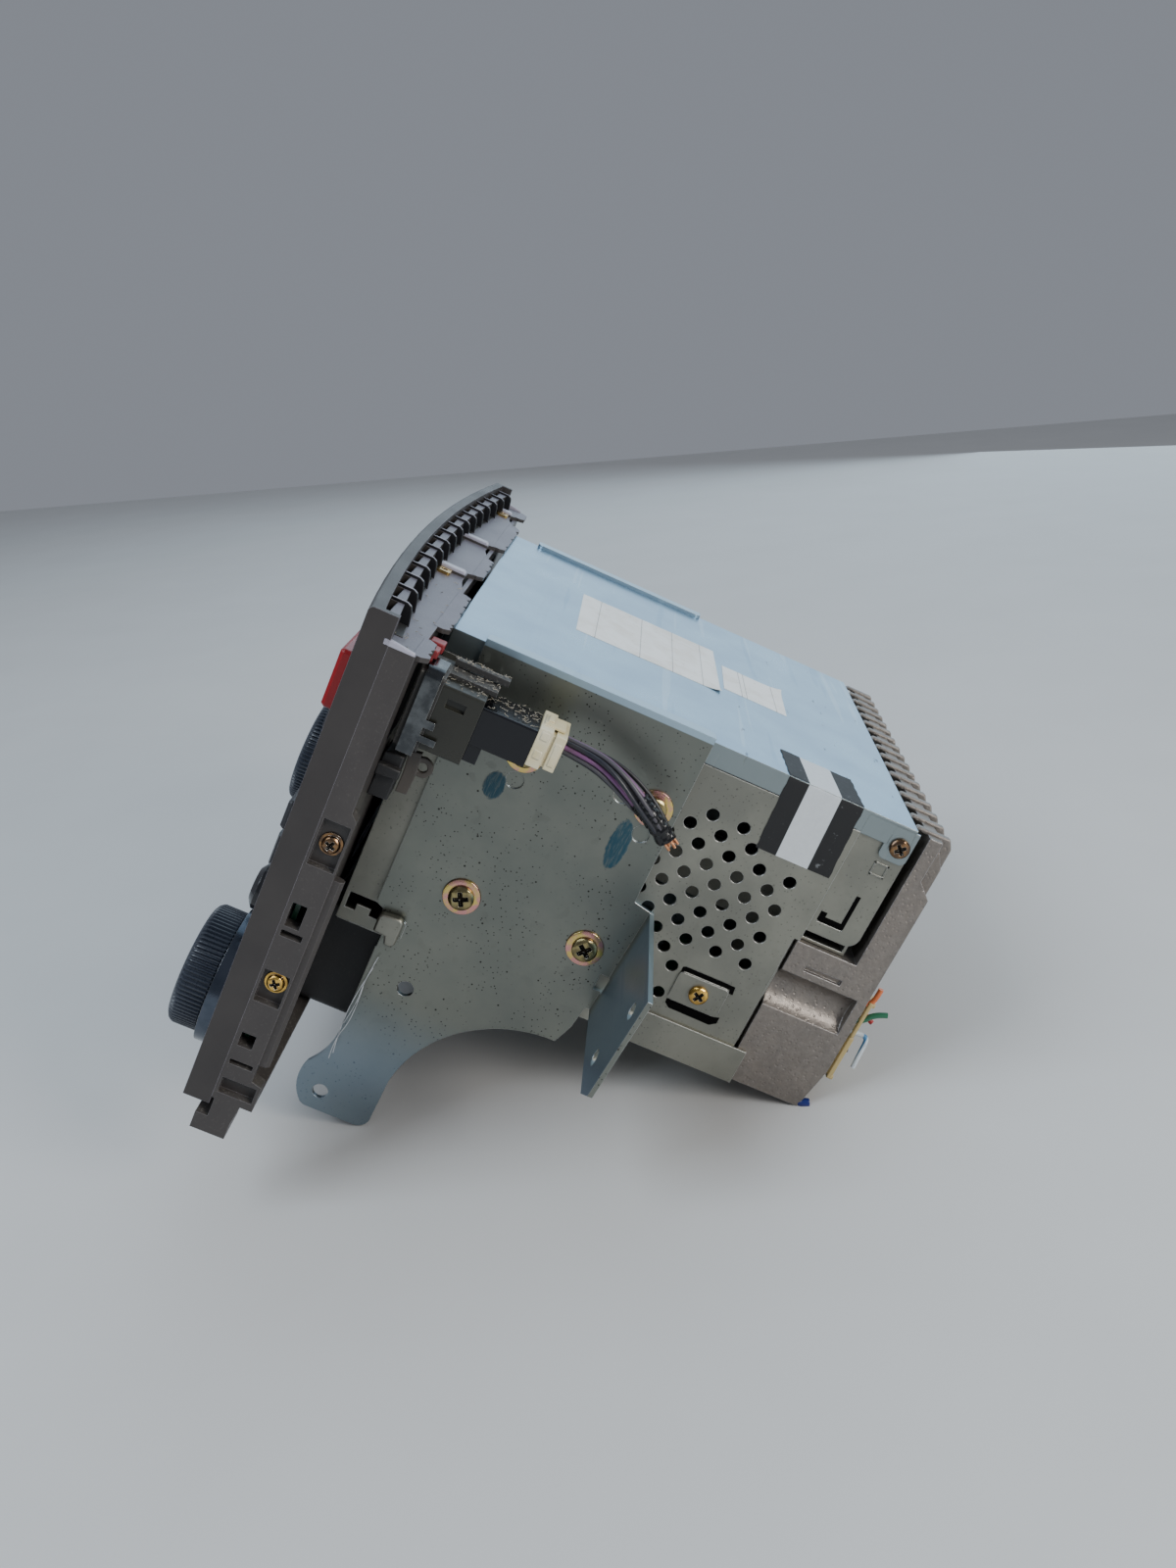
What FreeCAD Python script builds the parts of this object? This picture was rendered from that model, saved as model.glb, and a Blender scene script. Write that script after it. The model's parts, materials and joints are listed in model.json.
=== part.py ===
import FreeCAD, Part
import Sketcher
import math
import os

# Car cd player with a wide fascia, modelled upright as it sits in a dashboard.
# Front is -Y, rear is +Y, up is +Z, and +X is the side that carries the hazard switch.
# The origin is on the centre line, half way up the chassis, where it meets the fascia.

doc = FreeCAD.newDocument("car_cd_player")
sheet = doc.addObject("Spreadsheet::Sheet", "sizes")
vec = FreeCAD.Vector


class Size:
    """A length of the sheet, or a sum, product or quotient of such lengths."""

    def __init__(self, number, formula):
        self.number = number
        self.formula = formula

    def __add__(self, other):
        other = size_of(other)
        return Size(self.number + other.number, f"({self.formula} + {other.formula})")

    def __radd__(self, other):
        return size_of(other) + self

    def __sub__(self, other):
        other = size_of(other)
        return Size(self.number - other.number, f"({self.formula} - {other.formula})")

    def __rsub__(self, other):
        return size_of(other) - self

    def __mul__(self, other):
        other = size_of(other)
        return Size(self.number * other.number, f"({self.formula} * {other.formula})")

    def __rmul__(self, other):
        return size_of(other) * self

    def __truediv__(self, other):
        other = size_of(other)
        return Size(self.number / other.number, f"({self.formula} / {other.formula})")

    def __neg__(self):
        return Size(-self.number, f"(0 - {self.formula})")


def size_of(value):
    if isinstance(value, Size):
        return value
    return Size(float(value), repr(round(float(value), 6)))


rows = []


def size(alias, value, note):
    """Write one driving size in the sheet and return it."""
    rows.append(alias)
    row = len(rows)
    sheet.set(f"A{row}", note)
    sheet.set(f"B{row}", str(value))
    sheet.setAlias(f"B{row}", alias)
    return Size(float(value), f"sizes.{alias}")


# Chassis box
case_half = size("case_half_wide", 89, "chassis centre to the outside of a side panel")
case_high = size("case_half_high", 54, "chassis middle to the outside of its top cover")
case_deep = size("case_deep", 159, "front wall to the rear edge of the top cover")
sheet_metal = size("sheet_thick", 1.0, "chassis sheet steel")
seam = size("seam_gap", 0.3, "gap between neighbouring sheet edges")
cast_front = size("cast_front", 142, "front wall to the casting at the lower rear")
cast_top = size("cast_top", 3.6, "top of the lower casting above the chassis middle")
seam_high = size("cover_lip", 7.4, "depth of the top cover's side lip")
base_lip = size("base_lip", 13, "depth of the bottom cover's side lip")
base_lip_front = size("base_lip_front", 97, "front wall to the bottom cover's side lip")
vent_radius = size("vent_radius", 2.15, "side vent hole radius")
vent_step = size("vent_step", 5.41, "half pitch of the staggered vents")
vent_start = size("vent_start", 92.4, "front wall to the first vent row")
vent_top = size("vent_top", 26.5, "chassis middle to the upper vent row")
recess = size("corner_recess", 1.2, "set back of the rear corner plate")

# Side brackets
bracket_thick = size("bracket_thick", 1.6, "bracket sheet steel")
bracket_front = size("bracket_front", 10.6, "front wall to the bracket's front edge")
bracket_rear = size("bracket_rear", 87.7, "front wall to the bracket's rear edge")
bracket_foot = size("bracket_foot", 126.3, "chassis middle down to the bracket's foot")
bracket_lip = size("bracket_lip", 6.5, "width of the lip folded over the top cover")
arch_radius = size("arch_radius", 45.6, "radius of the arch behind the leg")
ear_long = size("ear_long", 58, "reach of the ear beyond the bracket")
ear_high = size("ear_high", 41, "height of the ear")
ear_lean = size("ear_lean", 3.5, "how far the foot of the ear comes forward")
mount_radius = size("mount_hole", 2.8, "hole radius in the leg and the ear")
screw_pitch_y = size("screw_pitch_deep", 44, "bracket screws along the chassis")
screw_pitch_z = size("screw_pitch_high", 54.3, "bracket screws up the chassis")
screw_first_y = size("screw_first", 35.5, "front wall to the first bracket screw")
screw_low_z = size("screw_low", 27.8, "chassis middle down to the lower screws")
washer_radius = size("washer_radius", 6.4, "bracket screw washer radius")
head_radius = size("head_radius", 4.4, "screw head radius")
head_high = size("head_high", 2.4, "screw head height")
screw_shank = size("screw_shank", 2.0, "screw shank radius")
tab_screw_y = size("tab_screw", 156.3, "front wall to the cover tab's screw")
tab_screw_z = size("tab_screw_high", 46.4, "chassis middle up to the cover tab's screw")
bridge_y = size("bridge_back", 121, "front wall to the bridge screw on a side panel")
bridge_low = size("bridge_low", 28, "chassis middle down to the bridge screw")

# Fascia
face_half = size("face_half_wide", 138, "fascia centre to its side")
face_top = size("face_top", 64, "chassis middle up to the fascia's top lip")
face_low = size("face_low", 103, "chassis middle down to the fascia's bottom edge")
face_ahead = size("face_ahead", 27, "front wall to the middle of the fascia")
face_bow = size("face_bow", 7, "how far the middle bows ahead of the ends")
face_wall = size("face_wall", 2.6, "fascia wall")
band_deep = size("band_back", 11.5, "front wall to the back of the fascia's side band")
lip_deep = size("lip_deep", 4.2, "depth of the top lip")
edge_round = size("edge_round", 1.6, "rounding of the fascia's front edge")
press_gap = size("press_gap", 0.4, "gap round each button and knob")
shaft_gap = size("shaft_gap", 0.3, "gap round a turning shaft")

# Frame behind the fascia
frame_wall = size("frame_wall", 5, "side wall of the frame")
frame_rear = size("frame_rear", 3.8, "front wall to the back of the frame")
tab_top = size("tab_top", 55.6, "chassis middle up to the frame's top tabs")
tab_thick = size("tab_thick", 1.6, "top tab thickness")
comb_top = size("comb_top", 62, "chassis middle up to the tips of the comb")
comb_pitch = size("comb_pitch", 16.2, "pitch of the comb's ribs")
comb_rib = size("comb_rib", 1.4, "comb rib thickness")
hook_low = size("hook_low", 113.6, "chassis middle down to the hook's foot")
plate_thick = size("plate_thick", 1.6, "frame back plate thickness")
wall_pocket = size("wall_pocket", 3, "depth of the pockets in the frame's side walls")

# Controls
knob_radius = size("knob_radius", 20.2, "climate knob radius")
knob_side = size("knob_side", 108, "centre line to a climate knob")
knob_low = size("knob_low", 77, "chassis middle down to the climate knobs")
knob_deep = size("knob_deep", 10.4, "climate knob depth")
dial_radius = size("dial_radius", 21, "volume knob radius")
dial_low = size("dial_low", 38, "chassis middle down to the volume knob")
dial_deep = size("dial_deep", 11, "volume knob depth")
ring_wide = size("ring_wide", 2.3, "trim ring width round a knob")
shaft_radius = size("shaft_radius", 3, "knob shaft radius")
board_front = size("board_front", 8, "front wall to the control board")
board_thick = size("board_thick", 1.6, "circuit board thickness")
cap_proud = size("cap_proud", 1.3, "how far a button stands out of the fascia")
cap_back = size("cap_back", 15.5, "front wall to the back of a button's flange")
cap_flange = size("cap_flange", 0.8, "flange behind a button")
travel = size("press_travel", 1.5, "button travel")
round_radius = size("round_button_radius", 7.5, "round button radius")
lens_wide = size("display_wide", 124, "display window width")
lens_high = size("display_high", 25, "display window height")
lens_level = size("display_level", 38.5, "chassis middle up to the display window")
panel_wide = size("climate_window_wide", 92, "climate window width")
panel_high = size("climate_window_high", 13, "climate window height")
panel_low = size("climate_window_low", 75.5, "chassis middle down to the climate window")

# Disc slot and mechanism
slot_half = size("slot_half_wide", 61, "half width of the disc slot")
slot_high = size("slot_high", 6, "height of the disc slot")
disc_level = size("disc_level", 14, "disc plane above the chassis middle")
deck_half = size("deck_half_wide", 72, "half width of the mechanism deck")
deck_level = size("deck_level", 3, "deck plate below the chassis middle")
deck_front = size("deck_front", 5, "front wall to the mechanism deck")
deck_deep = size("deck_deep", 135, "length of the mechanism deck")
spindle_back = size("spindle_back", 66, "front wall to the disc spindle")
roller_back = size("roller_back", 15, "front wall to the feed roller")
roller_radius = size("roller_radius", 4, "feed roller radius")
pin_radius = size("pin_radius", 1.5, "axle and guide rod radius")
sled_start = size("sled_start", 85, "front wall to the laser sled at rest")
sled_long = size("sled_long", 22, "laser sled length")
sled_reach = size("sled_reach", 28, "laser sled travel")
rod_side = size("rod_side", 20, "centre line to a guide rod")
screw_side = size("lead_screw_side", 30, "centre line to the lead screw")
rod_level = size("rod_level", 4, "guide rods above the chassis middle")
turntable_radius = size("turntable_radius", 15, "turntable radius")
motor_radius = size("motor_radius", 12, "spindle motor radius")

# Hazard switch behind the fascia
switch_side = size("switch_side", 112, "centre line to the hazard switch")
switch_level = size("switch_level", 36.3, "hazard switch above the chassis middle")
switch_wide = size("switch_wide", 20, "hazard switch housing width")
switch_high = size("switch_high", 21, "hazard switch housing height")
switch_deep = size("switch_deep", 12.8, "hazard switch housing depth")
switch_back = size("switch_back", 5.3, "front wall to the hazard switch housing")
plug_deep = size("plug_deep", 8.6, "harness plug depth")
harness_radius = size("harness_radius", 2.6, "radius of the wire bundle")

# Rear casting
fin_count = size("fin_count", 17, "cooling fins")
fin_pitch = size("fin_pitch", 10.4, "pitch of the cooling fins")
fin_thick = size("fin_thick", 3, "cooling fin thickness")
cast_rear = size("cast_rear", 172, "front wall to the back of the casting")
plate_front = size("plate_front", 163.5, "front wall to the casting's upper plate")
valley_radius = size("valley_radius", 8, "radius of the hollow in the casting's side")

doc.recompute()
bodies = []


def bind(item, name, value):
    """Set a property from the sheet, or from a plain number."""
    if isinstance(value, Size):
        item.setExpression(name, value.formula)
    else:
        setattr(item, name, value)


def new_body(label):
    body = doc.addObject("PartDesign::Body", label)
    body.Label = label
    bodies.append(body)
    return body


def plane_of(body, role):
    return [item for item in body.Origin.OriginFeatures if item.Role == role][0]


def sketch_on(body, role, at=0.0):
    """A sketch on an origin plane of the body, moved to the coordinate at along its axis."""
    sketch = body.newObject("Sketcher::SketchObject", "sketch")
    sketch.AttachmentSupport = [(plane_of(body, role), "")]
    sketch.MapMode = "FlatFace"
    shift = -size_of(at) if role == "XZ_Plane" else size_of(at)
    sketch.setExpression(".AttachmentOffset.Base.z", shift.formula)
    return sketch


def hold(sketch, ties):
    """Add constraints at once, and bind each whose last item is a size of the sheet."""
    start = sketch.ConstraintCount
    kinds = []
    for kind, *spots in ties:
        if isinstance(spots[-1], Size):
            spots[-1] = spots[-1].number
        kinds.append(Sketcher.Constraint(kind, *spots))
    sketch.addConstraint(kinds)
    for index, tie in enumerate(ties):
        if isinstance(tie[-1], Size) and "sizes." in tie[-1].formula:
            sketch.setExpression(f"Constraints[{start + index}]", tie[-1].formula)


class Arc:
    """Between two corners of an outline: an arc that bulges to the left (+1) or right (-1)."""

    def __init__(self, radius, side):
        self.radius = size_of(radius)
        self.side = side


def arc_between(start, end, arc):
    """The minor arc of the given radius from start to end."""
    chord = end - start
    half = chord.Length / 2
    radius = max(arc.radius.number, half * 1.000001)
    left = vec(-chord.y, chord.x, 0).normalize()
    rise = math.sqrt(radius ** 2 - half ** 2)
    centre = (start + end) * 0.5 - left * (arc.side * rise)
    middle = centre + left * (arc.side * radius)
    return Part.Arc(end, middle, start) if arc.side > 0 else Part.Arc(start, middle, end)


def outline(sketch, corners):
    """A closed outline through (u, v) corners, straight where no Arc stands between two."""
    points = [item for item in corners if not isinstance(item, Arc)]
    arcs = {}
    for index, item in enumerate(corners):
        if isinstance(item, Arc):
            arcs[sum(1 for other in corners[:index] if not isinstance(other, Arc)) - 1] = item
    points = [(size_of(u), size_of(v)) for u, v in points]
    places = [vec(u.number, v.number, 0) for u, v in points]
    count = len(points)
    edges = []
    for index in range(count):
        start = places[index]
        end = places[(index + 1) % count]
        if index in arcs:
            edges.append(sketch.addGeometry(arc_between(start, end, arcs[index])))
        else:
            edges.append(sketch.addGeometry(Part.LineSegment(start, end)))
    ends = []
    for index, edge in enumerate(edges):
        shape = sketch.Geometry[edge]
        forward = (shape.StartPoint - places[index]).Length < 1e-4
        ends.append((1, 2) if forward else (2, 1))
    ties = []
    for index, (u, v) in enumerate(points):
        after = (index + 1) % count
        edge = edges[index]
        ties.append(("Coincident", edge, ends[index][1], edges[after], ends[after][0]))
        straight = index and index - 1 not in arcs
        for kind, along, value, before in (("Vertical", "DistanceX", u, points[index - 1][0]),
                                           ("Horizontal", "DistanceY", v, points[index - 1][1])):
            if straight and value.formula == before.formula:
                ties.append((kind, edges[index - 1]))
            else:
                ties.append((along, -1, 1, edge, ends[index][0], value))
    for index, arc in arcs.items():
        ties.append(("Radius", edges[index], arc.radius))
    hold(sketch, ties)


def rectangle(sketch, u0, v0, u1, v1):
    outline(sketch, [(u0, v0), (u1, v0), (u1, v1), (u0, v1)])


def rounded(sketch, u, v, wide, high, corner):
    """A rectangle of rounded corners about its centre."""
    left = size_of(u) - wide / 2
    right = size_of(u) + wide / 2
    low = size_of(v) - high / 2
    top = size_of(v) + high / 2
    corner = size_of(corner)
    a, b, c, d, r = left.number, right.number, low.number, top.number, corner.number
    spots = [(a + r, c), (b - r, c), (b, c + r), (b, d - r), (b - r, d), (a + r, d), (a, d - r), (a, c + r)]
    spots = [vec(x, y, 0) for x, y in spots]
    edges = []
    for index in range(0, 8, 2):
        edges.append(Part.LineSegment(spots[index], spots[index + 1]))
        edges.append(arc_between(spots[index + 1], spots[(index + 2) % 8], Arc(corner, -1)))
    first = sketch.addGeometry(edges)[0]
    ties = []
    for index in range(8):
        ties.append(("Tangent", first + index, 2, first + (index + 1) % 8, 1))
    for index in (3, 5, 7):
        ties.append(("Equal", first + 1, first + index))
    ties.append(("Horizontal", first))
    ties.append(("Vertical", first + 2))
    ties.append(("DistanceY", -1, 1, first, 1, low))
    ties.append(("DistanceX", -1, 1, first + 2, 1, right))
    ties.append(("DistanceY", -1, 1, first + 4, 1, top))
    ties.append(("DistanceX", -1, 1, first + 6, 1, left))
    ties.append(("Radius", first + 1, corner))
    hold(sketch, ties)


def circle(sketch, u, v, radius):
    u = size_of(u)
    v = size_of(v)
    radius = size_of(radius)
    edge = sketch.addGeometry(Part.Circle(vec(u.number, v.number, 0), vec(0, 0, 1), radius.number))
    hold(sketch, [("DistanceX", -1, 1, edge, 3, u), ("DistanceY", -1, 1, edge, 3, v),
                  ("Radius", edge, radius)])
    return edge


def pad(body, sketch, length, backward=False, taper=0):
    """Add material along the sketch's normal, or against it, drawn in by a taper in degrees."""
    feature = body.newObject("PartDesign::Pad", "pad")
    feature.Profile = sketch
    bind(feature, "Length", length)
    feature.Reversed = backward
    feature.TaperAngle = -taper
    doc.recompute()
    return feature


def cut(body, sketch, length, backward=False):
    """Take material away along the sketch's normal when backward, else against it."""
    before = body.Shape.Volume
    feature = body.newObject("PartDesign::Pocket", "cut")
    feature.Profile = sketch
    bind(feature, "Length", length)
    feature.Reversed = backward
    doc.recompute()
    if body.Shape.Volume > before - 0.01:
        raise ValueError(f"{body.Label}: a cut removes nothing")
    return feature


def repeat(body, feature, role, count, length, backward=False):
    """A row of copies of a feature along an origin axis."""
    pattern = body.newObject("PartDesign::LinearPattern", "row")
    pattern.Originals = [feature]
    pattern.Direction = (plane_of(body, role), [""])
    bind(pattern, "Length", length)
    bind(pattern, "Occurrences", count)
    pattern.Reversed = backward
    body.Tip = pattern
    doc.recompute()
    return pattern


def round_edges(body, radius, wanted, chamfer=False):
    """Fillet or chamfer the edges of the body's shape that the test accepts."""
    names = [f"Edge{index + 1}" for index, edge in enumerate(body.Shape.Edges) if wanted(edge)]
    base = body.Tip
    if not names:
        raise ValueError(f"{body.Label}: no edge to round")
    kind = "PartDesign::Chamfer" if chamfer else "PartDesign::Fillet"
    feature = body.newObject(kind, "edge")
    feature.Base = (base, names)
    bind(feature, "Size" if chamfer else "Radius", radius)
    body.Tip = feature
    doc.recompute()
    return feature


def face_front(x):
    """How far ahead of the front wall the fascia's surface is at a distance from the centre line."""
    return face_ahead - x * x * face_bow / (face_half * face_half)


def bowed(half, ahead, corner_back):
    """An outline with a bowed front edge: corners at its back, then the bow."""
    radius = (half * half + face_bow * face_bow) / (2 * face_bow)
    return [(half, corner_back), (-half, corner_back), (-half, face_bow - ahead),
            Arc(radius, -1), (half, face_bow - ahead)]


# Chassis box: bent sheet steel
floor_low = -case_high + sheet_metal
roof_low = case_high - sheet_metal
panel_rear = cast_front - 1.5
corner_rear = cast_front + 0.6
vent_rows = {-1: (1, 3), 0: (0, 4), 1: (-1, 7), 2: (0, 6), 3: (-1, 7), 4: (0, 6),
             5: (-1, 7), 6: (0, 6), 7: (1, 7), 8: (2, 2), 9: (3, 3), 11: (3, 3)}
screw_places = [(screw_first_y + screw_pitch_y * column, screw_pitch_z * row - screw_low_z)
                for column in (0, 1) for row in (0, 1)]
shelf = cast_top + seam


def chassis_tray():
    """One bent sheet: front wall, floor, and a rear wall that steps over the casting."""
    body = new_body("chassis_tray")
    half = case_half - sheet_metal - recess - seam
    low_rear = cast_front - seam
    high_rear = case_deep - seam
    inner = floor_low + sheet_metal
    sketch = sketch_on(body, "YZ_Plane", -half)
    outline(sketch, [
        (0, floor_low), (low_rear, floor_low), (low_rear, shelf), (high_rear, shelf),
        (high_rear, roof_low), (high_rear - sheet_metal, roof_low),
        (high_rear - sheet_metal, shelf + sheet_metal), (low_rear - sheet_metal, shelf + sheet_metal),
        (low_rear - sheet_metal, inner), (sheet_metal, inner), (sheet_metal, roof_low), (0, roof_low)])
    pad(body, sketch, half * 2)
    slot = sketch_on(body, "XZ_Plane", -1)
    rectangle(slot, -slot_half - 4, disc_level - 7, slot_half + 4, disc_level + 7)
    rectangle(slot, -40, floor_low + 5, 40, floor_low + 13)
    cut(body, slot, sheet_metal + 2)


def staggered_vents(sketch):
    """Circles on a staggered grid, each lined up with the first of its row and of its column."""
    rows_begun = {}
    columns_begun = {}
    radius = None
    for row, (first, last) in vent_rows.items():
        for column in range(first, last + 1, 2):
            y = vent_start + vent_step * column
            z = vent_top - vent_step * row
            edge = sketch.addGeometry(Part.Circle(vec(y.number, z.number, 0), vec(0, 0, 1), vent_radius.number))
            ties = [("Equal", radius, edge)] if radius is not None else [("Radius", edge, vent_radius)]
            radius = edge if radius is None else radius
            if column in columns_begun:
                ties.append(("Vertical", columns_begun[column], 3, edge, 3))
            else:
                ties.append(("DistanceX", -1, 1, edge, 3, y))
            if row in rows_begun:
                ties.append(("Horizontal", rows_begun[row], 3, edge, 3))
            else:
                ties.append(("DistanceY", -1, 1, edge, 3, z))
            columns_begun.setdefault(column, edge)
            rows_begun.setdefault(row, edge)
            hold(sketch, ties)


def side_panel(side, label):
    """Side sheet with staggered vents, a set back rear corner and a bridge for one screw."""
    body = new_body(label)
    top = case_high - seam_high - seam
    sketch = sketch_on(body, "YZ_Plane", case_half * side)
    outline(sketch, [
        (0, floor_low), (panel_rear, floor_low), (panel_rear, shelf), (corner_rear, shelf),
        (corner_rear, top), (0, top)])
    pad(body, sketch, sheet_metal, side > 0)
    step = sketch_on(body, "YZ_Plane", case_half * side)
    rectangle(step, corner_rear - sheet_metal, shelf + 4, corner_rear, top)
    pad(body, step, recess + sheet_metal, side > 0)
    corner = sketch_on(body, "YZ_Plane", (case_half - recess) * side)
    outline(corner, [
        (corner_rear - 0.5, shelf + 4), (corner_rear + 13.5, shelf + 4), Arc(4.5, -1),
        (corner_rear + 18, shelf + 8.5), (corner_rear + 18, top), (corner_rear - 0.5, top)])
    pad(body, corner, sheet_metal, side > 0)
    bridge = sketch_on(body, "YZ_Plane", case_half * side)
    rounded(bridge, bridge_y, -bridge_low, 18, 11, 1.5)
    pad(body, bridge, 0.8, side < 0)
    vents = sketch_on(body, "YZ_Plane", (case_half + 2) * side)
    staggered_vents(vents)
    cut(body, vents, recess + 4, side < 0)
    holes = sketch_on(body, "YZ_Plane", (case_half + 2) * side)
    for offset in (-6.9, 6.9):
        rectangle(holes, bridge_y - 8, offset - bridge_low - 0.6, bridge_y + 8, offset - bridge_low + 0.6)
    for y, z in screw_places + [(bridge_y, -bridge_low)]:
        circle(holes, y, z, screw_shank)
    outline(holes, [(1.5, -42.5), (13.5, -42.5), (13.5, -48.5), (10, -48.5), (10, -46),
                    (5, -46), (5, -48.5), (1.5, -48.5)])
    cut(body, holes, recess + 4, side < 0)
    latch = sketch_on(body, "YZ_Plane", (case_half + 2) * side)
    left = corner_rear + 2.2
    right = corner_rear + 11
    foot = shelf + 8.4
    outline(latch, [(left, foot), (right, foot), (right, foot + 13), (right - 1.3, foot + 13),
                    (right - 1.3, foot + 1.4), (left, foot + 1.4)])
    circle(latch, tab_screw_y, tab_screw_z, screw_shank)
    cut(body, latch, recess + 4, side < 0)


def top_cover():
    """Lid with side lips and a screwed tab at each rear corner."""
    body = new_body("top_cover")
    plate = sketch_on(body, "XY_Plane", roof_low)
    rectangle(plate, -case_half, 0, case_half, case_deep)
    pad(body, plate, sheet_metal)
    for side in (1, -1):
        lip = sketch_on(body, "YZ_Plane", case_half * side)
        rectangle(lip, 0, case_high - seam_high, corner_rear, case_high)
        pad(body, lip, sheet_metal, side > 0)
        tab = sketch_on(body, "YZ_Plane", (case_half - recess + sheet_metal) * side)
        low = tab_screw_z - 5.4
        front = tab_screw_y - 5.3
        outline(tab, [
            (front + 2, low), (front + 7.5, low), Arc(2, -1), (front + 9.5, low + 2),
            (front + 9.5, roof_low), (case_deep, roof_low), (case_deep, case_high),
            (front, case_high), (front, low + 2), Arc(2, -1)])
        pad(body, tab, sheet_metal, side > 0)
        hole = sketch_on(body, "YZ_Plane", (case_half + 1) * side)
        circle(hole, tab_screw_y, tab_screw_z, screw_shank)
        cut(body, hole, 4, side < 0)


def bottom_cover():
    """Bottom sheet whose rear lips wrap outside the side panels."""
    body = new_body("bottom_cover")
    outer = case_half + sheet_metal
    plate = sketch_on(body, "XY_Plane", -case_high)
    inner = case_half - sheet_metal - seam
    rear = cast_front + 3.2
    outline(plate, [
        (-inner, 0.5), (inner, 0.5), (inner, base_lip_front), (outer, base_lip_front), (outer, rear),
        (inner, rear), (inner, cast_front - seam), (-inner, cast_front - seam), (-inner, rear),
        (-outer, rear), (-outer, base_lip_front), (-inner, base_lip_front)])
    pad(body, plate, sheet_metal)
    for side in (1, -1):
        lip = sketch_on(body, "YZ_Plane", case_half * side)
        rectangle(lip, base_lip_front, -case_high, rear, base_lip - case_high)
        pad(body, lip, sheet_metal, side < 0)


def side_bracket(side, label):
    """Pressed bracket: lip over the cover, leg with an arch behind it, and a bent out ear."""
    body = new_body(label)
    ear_top = -7.3
    ear_foot = -size_of(7.3) - ear_high
    ear_y = bracket_rear + 6
    foot_y = ear_y - ear_lean
    foot = -bracket_foot
    plate = sketch_on(body, "YZ_Plane", case_half * side)
    outline(plate, [
        (bracket_front, case_high + bracket_thick), (bracket_front, -41.5), (16.4, -44.4),
        (16.0, -93), Arc(26, 1), (10.0, -108.7), Arc(16, -1), (12.6, foot + 1.2), Arc(4, -1),
        (15.5, foot), (33.5, foot), Arc(5, -1), (38, foot + 5.5), (38.5, -104.6),
        Arc(arch_radius, 1), (84.5, -64.6), (87.4, -57), (88.6, ear_foot),
        (foot_y + bracket_thick, ear_foot), (ear_y + bracket_thick, ear_top),
        (bracket_rear, ear_top + 1.6), (bracket_rear, case_high + bracket_thick)])
    pad(body, plate, bracket_thick, side < 0)
    lip = sketch_on(body, "XY_Plane", case_high)
    outer = (case_half + bracket_thick) * side
    inner = (case_half + bracket_thick - bracket_lip) * side
    outline(lip, [
        (outer, bracket_front), (inner + 2.5 * side, bracket_front), Arc(2.5, side),
        (inner, bracket_front + 2.5), (inner, bracket_rear - 2.5), Arc(2.5, side),
        (inner + 2.5 * side, bracket_rear), (outer, bracket_rear)])
    pad(body, lip, bracket_thick)
    ear = sketch_on(body, "YZ_Plane", case_half * side)
    outline(ear, [
        (ear_y, ear_top), (foot_y, ear_foot), (foot_y + bracket_thick, ear_foot),
        (ear_y + bracket_thick, ear_top)])
    pad(body, ear, ear_long + bracket_thick, side < 0)
    tip = case_half + bracket_thick + ear_long
    shape = sketch_on(body, "XZ_Plane", ear_y - ear_lean - 4)
    outline(shape, [
        ((tip + 1) * side, ear_foot - 1), ((tip + 1) * side, ear_foot + 5),
        (tip * side, ear_foot + 5), ((tip - 8) * side, ear_foot), ((tip - 8) * side, ear_foot - 1)])
    for reach, drop in ((9.8, 9.8), (17, 33)):
        circle(shape, (tip - reach) * side, ear_top - drop, mount_radius)
    cut(body, shape, 14)
    relief = sketch_on(body, "YZ_Plane", (case_half - 1) * side)
    rectangle(relief, bracket_rear + 0.5, -40.6, bracket_rear + 8, -34.4)
    cut(body, relief, bracket_thick + 3, side > 0)
    flange = sketch_on(body, "XZ_Plane", 16)
    outline(flange, [
        ((case_half + bracket_thick) * side, -57), ((case_half - 6) * side, -57),
        ((case_half - 9) * side, -62), ((case_half - 9) * side, -99),
        ((case_half - 6) * side, -104), ((case_half + bracket_thick) * side, -104)])
    pad(body, flange, bracket_thick, True)
    catch = sketch_on(body, "YZ_Plane", (case_half + bracket_thick) * side)
    rounded(catch, 20, -48, 5.4, 7, 1.2)
    pad(body, catch, 0.8, side < 0)
    holes = sketch_on(body, "YZ_Plane", (case_half + bracket_thick + 1) * side)
    circle(holes, 30.9, -67.8, mount_radius)
    circle(holes, 18.1, -118.4, mount_radius)
    for y, z in screw_places:
        circle(holes, y, z, screw_shank)
    cut(body, holes, bracket_thick + 2, side < 0)
    dimples = sketch_on(body, "YZ_Plane", (case_half + bracket_thick) * side)
    for y, z in ((79.5, 16.7), (68.9, 26.5), (35.9, 16.8)):
        circle(dimples, y, z, 2.9)
    cut(body, dimples, 0.6, side < 0)


def bracket_screws():
    """Eight screws with washers, four to a bracket."""
    body = new_body("bracket_screws")
    outside = case_half + bracket_thick
    for side in (1, -1):
        washer = sketch_on(body, "YZ_Plane", outside * side)
        head = sketch_on(body, "YZ_Plane", (outside + 0.8) * side)
        shank = sketch_on(body, "YZ_Plane", outside * side)
        for y, z in screw_places:
            circle(washer, y, z, washer_radius)
            circle(head, y, z, head_radius)
            circle(shank, y, z, screw_shank)
        pad(body, washer, 0.8, side < 0)
        pad(body, head, head_high, side < 0, 22)
        pad(body, shank, bracket_thick + 4, side > 0)


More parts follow.
